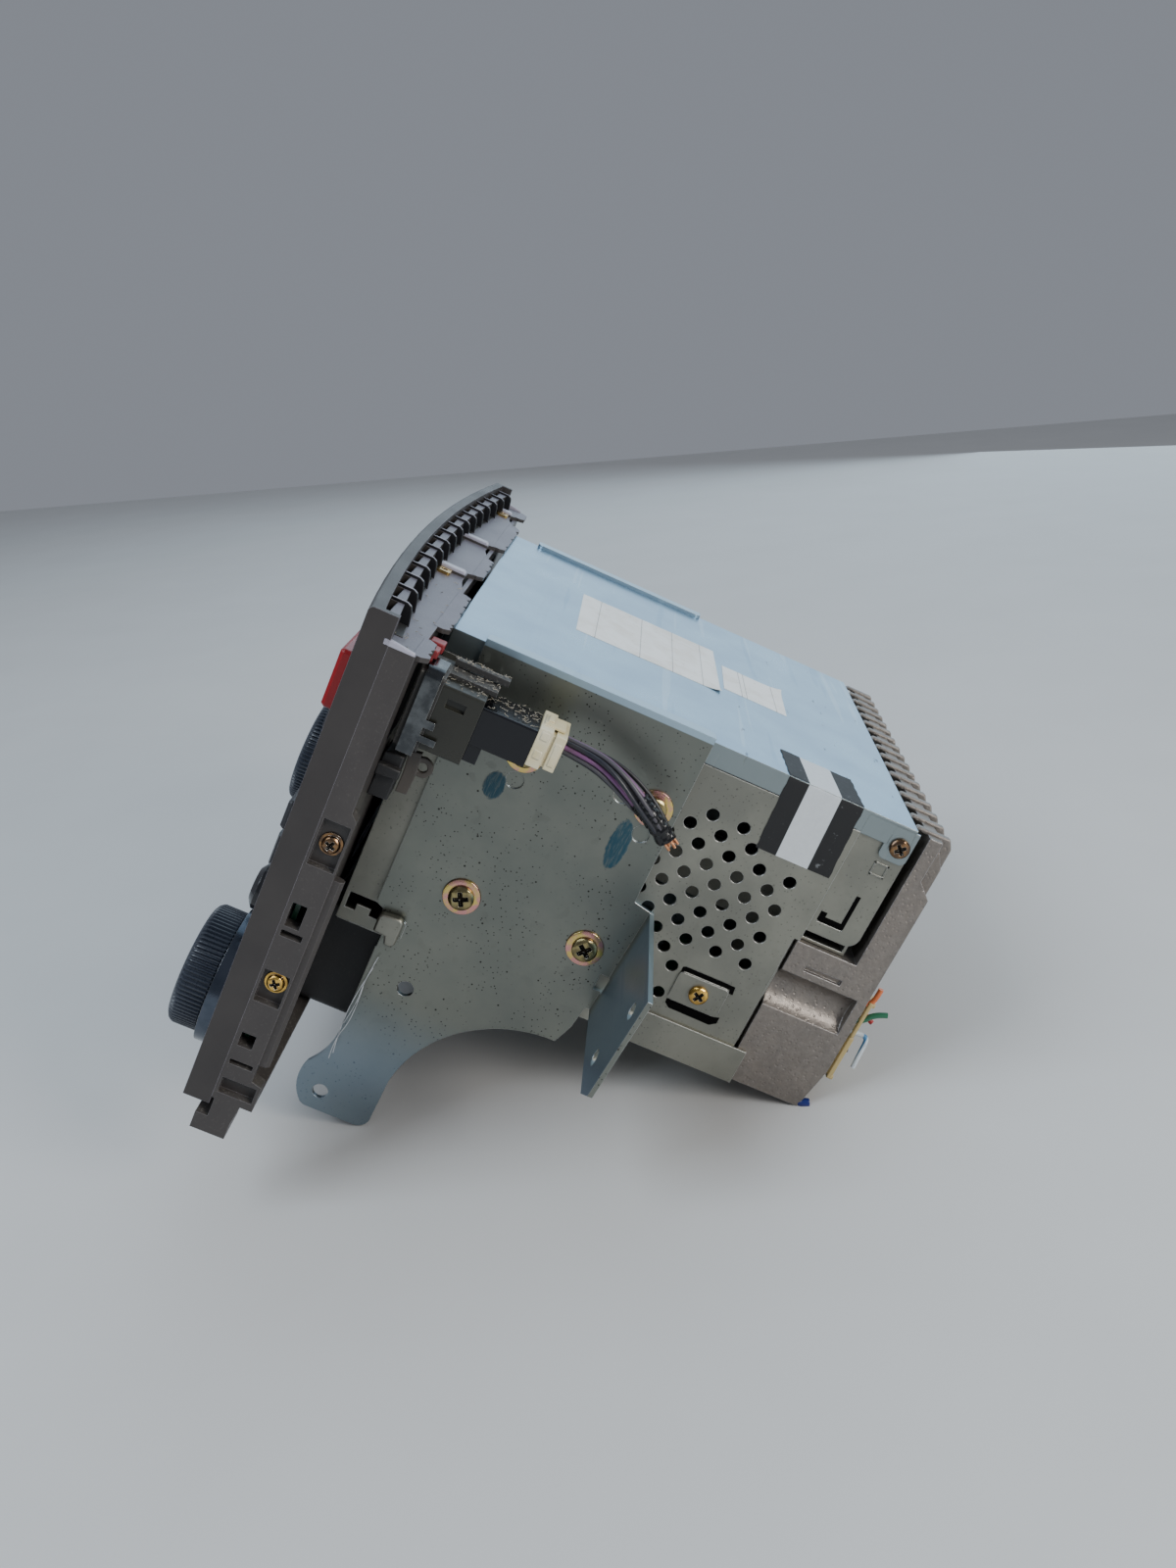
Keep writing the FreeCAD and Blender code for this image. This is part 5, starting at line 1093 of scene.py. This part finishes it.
# The end ridges take the same pale finish, a painted highlight.
prisms("end_ridges", [(((-13.4, 55.3), (-4.0, 55.3), (-4.0, 56.4), (-12.6, 57.6), (-13.4, 57.4)),
                       side * 136.6, side * 138.0) for side in SIDES], "highlight_plastic", 0.3)
blocks("lamp_holder", (((105.5, -3.7, 50.9), (110.6, 0.9, 53.9)), ((111.6, -3.7, 50.9), (117.2, 0.4, 53.4)),
                       ((105.5, -3.7, 48.9), (117.2, -0.6, 51.4))), "lamp_red", 0.35)
prisms("switch_arm", ((((-3.9, 4.2), (2.6, 4.6), (2.8, 19.6), (-3.5, 19.4)), 106, 117),
                      (((-3.9, 12), (3.4, 13), (3.4, 16), (-3.9, 16)), 117, 119.5)), "black_plastic", 0.5)
STRAP_EYE = Vector((111.4, 8.4, 17.2))
EYE_RING = ((1.7, 0), (3.1, 0), (3.3, 0.4), (3.3, 1.4), (3.1, 1.7), (1.7, 1.7), (1.5, 1.4), (1.5, 0.3),
            (1.7, 0))
STRAP = ((3.5, 7.0), (7.0, 7.2), (7.4, 12.8), (6.9, 21.4), (3.1, 20.6), (3.6, 13))


def strap_eye():
    shape = bmesh.new()
    stitch(shape, [[shape.verts.new(Vector((x, y, z)) * MM) for y, z in STRAP] for x in (111.2, 113.2)])
    spin(shape, Matrix.Translation(STRAP_EYE * MM) @ OUTWARD["right"], EYE_RING, 32)
    settle("strap_eye", shape, "strap_plastic", soften=0.3)


strap_eye()
print("rails, ridges, holder and arm made")

# %% [markdown]
# The ivory plug is nylon, a little yellow with age. It has a collar, a waist and a rear
# lobe with a latch on top, all with soft moulded edges.

# %% The plug
LATCH_HIGH = 1.8


def ivory_plug():
    low, high, _ = millimetres("harness_plug")
    high.z -= LATCH_HIGH
    boxes = (((low.x, low.y, low.z + 0.3), (high.x, low.y + 4.2, high.z)),
             ((low.x + 1.4, low.y + 3.8, low.z + 1.2), (high.x - 1.4, low.y + 5.6, high.z - 1.2)),
             ((low.x + 0.7, low.y + 5.2, low.z + 0.9), (high.x - 0.7, high.y, high.z - 0.6)),
             ((low.x + 4.5, low.y + 0.8, high.z - 0.5), (high.x - 4.5, high.y - 1.2, high.z + 0.5)),
             ((low.x + 6.4, low.y + 1.6, high.z + 0.2), (high.x - 6.4, low.y + 3.4, high.z + 1.2)),
             ((high.x - 0.9, high.y - 2.6, low.z + 2.4), (high.x - 0.4, high.y - 0.7, high.z - 2.8)),
             *(((high.x - 0.6, low.y + 1.0, z), (high.x + 0.25, low.y + 3.4, z + 2.6))
               for z in (low.z + 3.2, low.z + 9.2)))
    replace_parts(blocks("ivory_plug", boxes, "plug_nylon", 0.7), "harness_plug")


ivory_plug()
print("plug made")

# %% [markdown]
# The switch has stood in a dusty dashboard for years. Lint and straw-coloured fibres lie
# on its plates and along the top of its socket. They are two seeded scatters, short bent
# fibres and small flakes, so the picture is the same each time.

# %% Lint on the switch


def lint_finish():
    paint = Paint("lint")
    tone = paint.mix(paint.noise(1.5, 2).above(0.5, 0.2), (0.42, 0.37, 0.28), (0.26, 0.25, 0.23))
    paint.finish(Base_Color=tone, Roughness=0.9, rounding=0.0)


lint_finish()
DUSTY = (((102.0, 4.5, 46.95), (121.5, 18.0, 47.3), 52), ((102.5, 5.3, 48.3), (113.5, 20.3, 48.5), 46),
         ((104.4, 5.3, 50.9), (107.8, 22.0, 51.1), 40), ((104.5, 18.5, 44.6), (119.5, 34.8, 44.8), 60),
         ((96.0, -15.0, 55.75), (136.0, -4.5, 55.85), 14), ((20.0, -16.0, 55.75), (90.0, -5.0, 55.85), 16))


def scatter_fibres():
    chance = random.Random(11)
    data = bpy.data.curves.new("lint_fibres", "CURVE")
    data.dimensions = "3D"
    data.bevel_depth = 0.085 * MM
    data.bevel_resolution = 1
    for low, high, count in DUSTY:
        for _ in range(count):
            spot = Vector(chance.uniform(a, b) for a, b in zip(low, high))
            turn = chance.uniform(0, math.tau)
            long = chance.uniform(0.6, 2.2)
            bend = chance.uniform(-0.5, 0.5)
            spline = data.splines.new("POLY")
            spline.points.add(3)
            for index, point in enumerate(spline.points):
                share = index / 3 - 0.5
                way = Vector((math.cos(turn), math.sin(turn), 0)) * share * long
                side = Vector((-math.sin(turn), math.cos(turn), 0)) * bend * (0.25 - share * share) * 2
                rise = Vector((0, 0, chance.uniform(0.0, 0.55)))
                point.co = (*((spot + way + side + rise) * MM), 1)
    data.materials.append(FINISH["lint"])
    curve = linked("lint_curve", data)
    mesh = meshed(curve)
    bpy.data.objects.remove(curve)
    linked("lint_fibres", mesh, "housing")


def scatter_flakes():
    chance = random.Random(23)
    shape = bmesh.new()
    for low, high, count in DUSTY:
        for _ in range(count * 2):
            spot = Vector(chance.uniform(a, b) for a, b in zip(low, high))
            size = chance.uniform(0.12, 0.42)
            turn = Matrix.Rotation(chance.uniform(0, math.tau), 4, "Z")
            squash = Matrix.Diagonal((size, size * chance.uniform(0.4, 1), size * 0.45, 1))
            place = Matrix.Translation(spot * MM) @ turn @ (squash * MM)
            place[3][3] = 1
            bmesh.ops.create_icosphere(shape, subdivisions=1, radius=1, matrix=place)
    settle("lint_flakes", shape, "lint", crisp=80)


scatter_fibres()
scatter_flakes()
print("lint laid on", len(DUSTY), "places")

# %% [markdown]
# The casting's fins rise to the level of the lid, with their top corners cut off. The
# solid has the fins; these crests carry each one up to its full height.

# %% Crests of the cooling fins
CREST = ((159.0, 53.2), (160.0, 54.4), (171.3, 54.4), (173.1, 51.4), (173.2, 43.9), (167.0, 52.5))
FIN_PITCH = 10.4
FIN_HALF = 1.45
prisms("fin_crests", [(CREST, index * FIN_PITCH - FIN_HALF, index * FIN_PITCH + FIN_HALF)
                      for index in range(-8, 9)], "cast_alloy", 0.4)
print("fin crests made")

# %% [markdown]
# Cut stubs of wire hang out of the cream connector at the rear: one orange, one green, one
# white with a blue stripe, and two behind them, each bent its own way. The connector has
# dark cells and a raised rim, and a blue foot shows under the casting.

# %% Wires at the rear
REAR_WIRES = (
    ("orange", (0.62, 0.16, 0.05), None, 0.95,
     ((80, 173, -12), (80.5, 176.8, -12), (81, 178.4, -8.5), (81, 178.2, -4))),
    ("green", (0.02, 0.14, 0.07), None, 1.0,
     ((80, 174, -19), (80.5, 178, -18.5), (81, 180.5, -13.5), (81, 184.8, -12))),
    ("striped", (0.6, 0.66, 0.7), (0.05, 0.2, 0.4), 0.85,
     ((80, 174, -23), (81, 179.5, -22.5), (82, 182.5, -22), (82, 182.8, -28), (82, 183.2, -34.5))),
    ("red", (0.4, 0.02, 0.02), None, 0.9,
     ((74, 174, -15), (74, 178.5, -15.5), (75, 180.5, -18), (76, 183.5, -19))),
    ("dark", (0.02, 0.02, 0.022), None, 0.9,
     ((70, 174, -30), (70, 179, -30), (69.5, 182, -32), (69.5, 183, -36))))
CELL_COLUMNS = [63.5 + column * 6.2 for column in range(3)]
CELL_ROWS = [-39.5 + row * 3.8 for row in range(8)]
RIM_BARS = (((60.2, 176.8, -42.2), (82.0, 179.2, -40.6)), ((60.2, 176.8, -11.4), (82.0, 179.2, -9.8)),
            ((60.2, 176.8, -42.2), (61.8, 179.2, -9.8)), ((80.4, 176.8, -42.2), (82.1, 178.6, -24.5)),
            ((80.6, 176.8, -24.5), (82.1, 178.2, -9.8)))
DROP = Vector((88.0, 172.6, -51.0))


def short_wire(name, points, radius, finish):
    """A stub bent by hand, as a mesh that follows a smooth line."""
    curve = smooth_curve(name, [Vector(point) * MM for point in points], radius * MM, finish, 8)
    mesh = meshed(curve)
    bpy.data.objects.remove(curve)
    mesh.polygons.foreach_set("use_smooth", [True] * len(mesh.polygons))
    mesh.set_sharp_from_angle(angle=0.8)
    return linked(name, mesh, "housing")


for name, colour, stripe, radius, points in REAR_WIRES:
    wire_cover(f"rear_{name}", colour, stripe=stripe)
    stub = short_wire(f"rear_wire_{name}", points, radius, f"rear_{name}")
    if name == "orange":
        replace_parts(stub, "rear_wires")
blocks("connector_cells", [((x, 177.3, z), (x + 3.4, 177.62, z + 2.4))
                           for x in CELL_COLUMNS for z in CELL_ROWS], "black_plastic")
blocks("connector_rim", RIM_BARS, "yellowed_nylon", 0.35)
foot = bmesh.new()
spin(foot, Matrix.Translation(DROP * MM) @ Matrix.Rotation(math.radians(115), 4, "X"),
     ((0, -1.5), (1.5, -1.4), (1.6, 0), (1.5, 1.6), (1.0, 2.8), (0, 3.2)), 20)
settle("rubber_drop", foot, "foot_blue", soften=0.2)
print("rear wires", len(REAR_WIRES))

# %% [markdown]
# The knobs have a fine straight knurl, about eighty flutes, which the solids leave out
# because it would only slow them down. Each knob is spun from rings whose radius goes in
# and out round the rim, with a rounded front edge and a shallow dish. A ring is given by
# how far it is set in, how far ahead it lies and how deep its flutes are.

# %% Knurled knobs
KNURL_DEEP = 0.9
LARGE_RADIUS = 20.5


def knob_rim():
    paint = Paint("knob_rim")
    grain = paint.noise(0.6, 2)
    tone = paint.mix(paint.noise(12, 3).above(0.5, 0.2), (0.03, 0.036, 0.05), (0.04, 0.047, 0.062))
    paint.finish(height=grain, depth=0.01, rounding=0.0, Base_Color=tone, Roughness=0.24 + grain * 0.08)


def knurled_knob(name, node, flutes):
    low, high, middle = millimetres(node)
    radius = (high.x - low.x) / 2
    deep = 11.0 if radius > LARGE_RADIUS else 10.4
    rear = low.y + deep
    rings = ((-0.8, 0, 0), (-0.1, 0.35, 0.7), (0, 0.9, 1), (0, deep - 2.4, 1), (-0.3, deep - 1.7, 0.8),
             (-0.9, deep - 0.9, 0.3), (-2.0, deep - 0.25, 0), (-3.4, deep, 0), (-4.3, deep - 0.15, 0),
             (-4.8, deep - 0.8, 0), (-8.0, deep - 1.0, 0), (-14.0, deep - 1.15, 0))
    shape = bmesh.new()
    rows = []
    for inset, ahead, knurl in rings:
        row = []
        for side in range(flutes * 4):
            turn = side / (flutes * 4) * math.tau
            reach = radius + inset - KNURL_DEEP * knurl * (side % 4 >= 2)
            row.append(shape.verts.new(Vector((
                middle.x + math.cos(turn) * reach, rear - ahead, middle.z + math.sin(turn) * reach)) * MM))
        rows.append(row)
    stitch(shape, rows)
    shaft = Matrix.Translation(Vector((middle.x, rear - 1, middle.z)) * MM) @ OUTWARD["rear"]
    spin(shape, shaft, ((0, 0), (3, 0), (3, high.y - rear + 1), (0, high.y - rear + 1)), 24)
    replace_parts(settle(name, shape, "knob_rim", node, crisp=40), node)


def pointer(name, node):
    low, high, middle = millimetres(node)
    tip = middle.z + (high.x - low.x) / 2
    shape = bmesh.new()
    block(shape, (middle.x - 0.6, low.y + 0.65, tip - 13), (middle.x + 0.6, low.y + 1.15, tip - 5.4))
    settle(name, shape, "white_print", node)


knob_rim()
knurled_knob("knurled_volume", "volume_knob", 84)
for side in ("right", "left"):
    knurled_knob(f"knurled_{side}", f"climate_knob_{side}", 80)
    pointer(f"knurled_{side}_pointer", f"climate_knob_{side}")
print("knobs made")

# %% [markdown]
# The front carries only plain numbers and signs: presets 1 to 6, a clock reading, arrows
# on the rockers and the slot keys, and scale marks round the climate knobs. The real one
# is painted and then burnt through by a laser; thin raised shapes look the same here.

# %% Plain numbers and signs
IN_DIAL = -19.16
SIGN_PROUD = 0.06
SIGN_THICK = 0.15
NUMBER_HALF = 0.04
DRIVER_Y = -200
DIAL_X, DIAL_Z, DIAL_RADIUS = 108, -77, 25.6
TICKS, SWEEP = 11, 270


def face_place(x, y, z):
    lean = math.asin(x / BOW)
    return (Matrix.Translation(Vector((x, y, z)) * MM) @ Matrix.Rotation(lean, 4, "Z")
            @ Matrix.Rotation(math.pi / 2, 4, "X"))


def number(name, words, x, y, z, height, finish, body="housing"):
    data = bpy.data.curves.new(name, "FONT")
    data.body = words
    data.size = height * MM
    data.extrude = NUMBER_HALF * MM
    data.align_x = "CENTER"
    data.align_y = "CENTER"
    data.materials.append(FINISH[finish])
    made = linked(name, data)
    made.matrix_world = face_place(x, y, z)
    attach(made, body)


def touch(node, x, z):
    """Where a ray from the driver's seat meets a part, in millimetres."""
    hit, spot, _, _ = bpy.data.objects[node].ray_cast(Vector((x, DRIVER_Y, z)) * MM, Vector((0, 1, 0)))
    return spot.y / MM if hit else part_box(node)[0].y / MM


def signs(name, outlines, node, finish="white_print"):
    """Flat shapes on a button, each an outline of (x, z) in millimetres from its middle."""
    shape = bmesh.new()
    middle = millimetres(node)[2]
    for outline in outlines:
        spots = [(middle.x + x, middle.z + z) for x, z in outline]
        place = [Vector((x, touch(node, x, z) - SIGN_PROUD, z)) for x, z in spots]
        stitch(shape, [[shape.verts.new((spot + Vector((0, deep, 0))) * MM) for spot in place]
                       for deep in (0, SIGN_THICK)])
    settle(name, shape, finish, node)


def arrow(x, size, way=1):
    return [(x - size * way, size), (x + size * way, 0), (x - size * way, -size)]


def bar(z, wide, high):
    return [(x * wide / 2, z + up * high / 2) for x, up in ((-1, -1), (1, -1), (1, 1), (-1, 1))]


def triangle_side(turn):
    """One side of the hazard triangle, between its outer and its inner corners."""
    first = math.tau * turn / 3 + math.pi / 2
    second = first + math.tau / 3
    corners = ((7.4, first), (7.4, second), (5.6, second), (5.6, first))
    return [(radius * math.cos(angle), radius * math.sin(angle) - 1) for radius, angle in corners]


for count in range(1, 7):
    node = f"preset_button_{count}"
    spot = millimetres(node)[2]
    ahead = touch(node, spot.x, spot.z) - NUMBER_HALF
    number(f"preset_number_{count}", str(count), spot.x, ahead, spot.z, 6.4, "white_print", node)
signs("hazard_sign", [triangle_side(turn) for turn in range(3)], "hazard_button")
signs("eject_sign", [[(-2.6, -0.6), (2.6, -0.6), (0, 2.6)], bar(-2.0, 5.2, 1.0)], "eject_button")
signs("load_sign", [[(-2.6, 1.6), (0, -1.8), (2.6, 1.6)]], "load_button")
for node in ("seek_rocker", "source_rocker"):
    signs(f"{node}_sign", [arrow(15, 1.8), arrow(-15, 1.8, -1)], node)
for count in range(1, 5):
    node = f"climate_button_{count}"
    signs(f"climate_sign_{count}", [arrow(0, 1.9)] if count == 4 else [
        bar(-1.4 + 1.5 * row, 6.5, 0.55) for row in range(count)], node)
    signs(f"climate_lamp_{count}", [bar(3.2, 3.0, 0.6)], node, "amber_print")
for name, words, x, z, height in (
        ("clock_reading", "12:00", 0, 38.6, 15), ("climate_reading", "22", -28, -75.4, 8),
        ("climate_reading_2", "22", 28, -75.4, 8)):
    number(name, words, x, IN_DIAL, z, height, "segment_print")
ticks = bmesh.new()
for side in SIDES:
    for index in range(TICKS):
        angle = math.radians(SWEEP * (index / (TICKS - 1) - 0.5))
        x = DIAL_X * side + DIAL_RADIUS * math.sin(angle)
        z = DIAL_Z + DIAL_RADIUS * math.cos(angle)
        place = face_place(x, bow_front(x) - 0.03, z) @ Matrix.Rotation(-angle, 4, "Z")
        block(ticks, (-0.35, -1.3, -0.2), (0.35, 1.3, 0.05), place)
settle("scale_marks", ticks, "white_print")
print("numbers and signs made")

# %% [markdown]
# Small pressings on the side sheets: a filler between the lid's lip and its rear tab, a
# square dimple on the corner plate, near-black sheets of painted shade in the openings over
# and under the bridge and in the corner slot, and the rounded catch that stands out of the
# bracket beside its strap. White threads hang on the edge of the bracket's leg.

# %% Small pressings
TAB_FACE = 88.85
PANEL_FACE = 89.06
CORNER_FACE = 87.86
FILLER = ((LID_SIDE - 0.9, 140.8), (LID_SIDE - 0.05, 140.8), (TAB_FACE, 146.2), (TAB_FACE, 152.2),
          (TAB_FACE - 0.8, 152.2), (TAB_FACE - 0.8, 146))
CATCH = ((13.2, -44.2), (14.2, -43.2), (20.4, -42.6), (21.8, -43.8), (21.8, -52.4), (20.6, -53.6),
         (18.2, -53.6), (17.4, -50.6), (13.2, -50.2))
OVER_BRIDGE = ((112.2, -21.0), (113.0, -20.6), (131.2, -20.6), (131.6, -23.6), (130.2, -23.6),
               (129.8, -22.2), (113.6, -22.2), (112.2, -23.4))
UNDER_BRIDGE = ((112.2, -34.0), (113.4, -33.8), (129.6, -33.8), (131.4, -33.2), (131.4, -35.6),
                (129.2, -37.2), (114.2, -37.0), (112.4, -35.6))
CORNER_SLOT = ((144.4, 12.8), (153.8, 12.8), (153.8, 25.6), (152.4, 25.6), (152.4, 14.6), (146.6, 14.6),
               (146.6, 16.2), (144.4, 16.2))
DIMPLE_WALLS = ((151.8, 34.2, 152.6, 39.2), (156.2, 34.2, 157.0, 39.2), (151.8, 38.4, 157.0, 39.2),
                (151.8, 34.2, 157.0, 35.0))
THREADS = (((92.4, 18.4, -59.5), (93.6, 17.2, -68), (93.2, 17.9, -78), (92.5, 16.4, -88)),
           ((92.4, 18.2, -64), (94.4, 16.2, -75), (93.0, 15.8, -90), (93.4, 17.0, -100)),
           ((92.6, 17.6, -72), (93.4, 18.6, -84), (93.8, 15.6, -95), (92.8, 16.4, -103)))
SHADE_SHEETS = ((OVER_BRIDGE, PANEL_FACE), (UNDER_BRIDGE, PANEL_FACE), (CORNER_SLOT, CORNER_FACE))
SHADE_THICK = 0.16
prisms("lip_filler", [([(x * side, y) for x, y in FILLER], 45.9, 53.4) for side in SIDES], "cover_zinc", 0.2,
       upright=True)
prisms("strap_catch", [(CATCH, 91.0, 94.2)], "panel_zinc", 0.7)
# Painted shade: thin near-black sheets stand for the dark insides of the openings.
prisms("shade_openings", [(outline, (face - SHADE_THICK) * side, face * side)
                            for side in SIDES for outline, face in SHADE_SHEETS], "unlit_gap")
blocks("square_dimple", [((87.7 * side, y0, z0), (88.1 * side, y1, z1)) for side in SIDES
                         for y0, z0, y1, z1 in DIMPLE_WALLS], "panel_zinc", 0.15)
for index, points in enumerate(THREADS):
    short_wire(f"stray_thread_{index + 1}", points, 0.14, "white_thread")
print("small pressings made")

# %% [markdown]
# The frame's top plates reach back over the lid's front edge. Their rear edges are ragged,
# because foam tape was glued there and has been torn away. Each edge is walked in short
# steps with a seeded jitter and a deeper nick now and then.

# %% Rear edges of the top plates
PLATE_EDGES = (((52, -0.4), (75, 0.1), (101, 0.2)), ((117, -0.8), (136, -0.3)),
               ((-14, -0.9), (3, -0.6), (20, -0.8)), ((-98, 0.4), (-70, 0.2), (-40, 0.0)),
               ((-137, -0.6), (-121, -0.5)))
EDGE_STEP = 1.9
NICK_CHANCE = 0.16
NICK_DEEP = 0.9
JITTER = 0.18
CORNER_CUT = 2.2
PLATE_FRONT, PLATE_LOW, PLATE_HIGH = -5.0, 54.15, 55.66


def ragged_plates():
    chance = random.Random(5)
    plates = []
    for line in PLATE_EDGES:
        edge = []
        for (x0, y0), (x1, y1) in zip(line, line[1:]):
            steps = round((x1 - x0) / EDGE_STEP)
            for step in range(steps):
                share = step / steps
                nick = NICK_DEEP if chance.random() < NICK_CHANCE else 0.0
                y = y0 + (y1 - y0) * share - nick + chance.uniform(-JITTER, JITTER)
                edge.append((x0 + (x1 - x0) * share, y))
        (first, first_y), (last, last_y) = line[0], line[-1]
        edge[0] = (first, first_y - CORNER_CUT)
        edge.append((last, last_y - CORNER_CUT))
        outline = [(last, PLATE_FRONT), *reversed(edge), (first, PLATE_FRONT)]
        plates.append((outline, PLATE_LOW, PLATE_HIGH))
    prisms("ragged_plates", plates, "frame_plastic", upright=True)


ragged_plates()
print("plate edges", len(PLATE_EDGES))
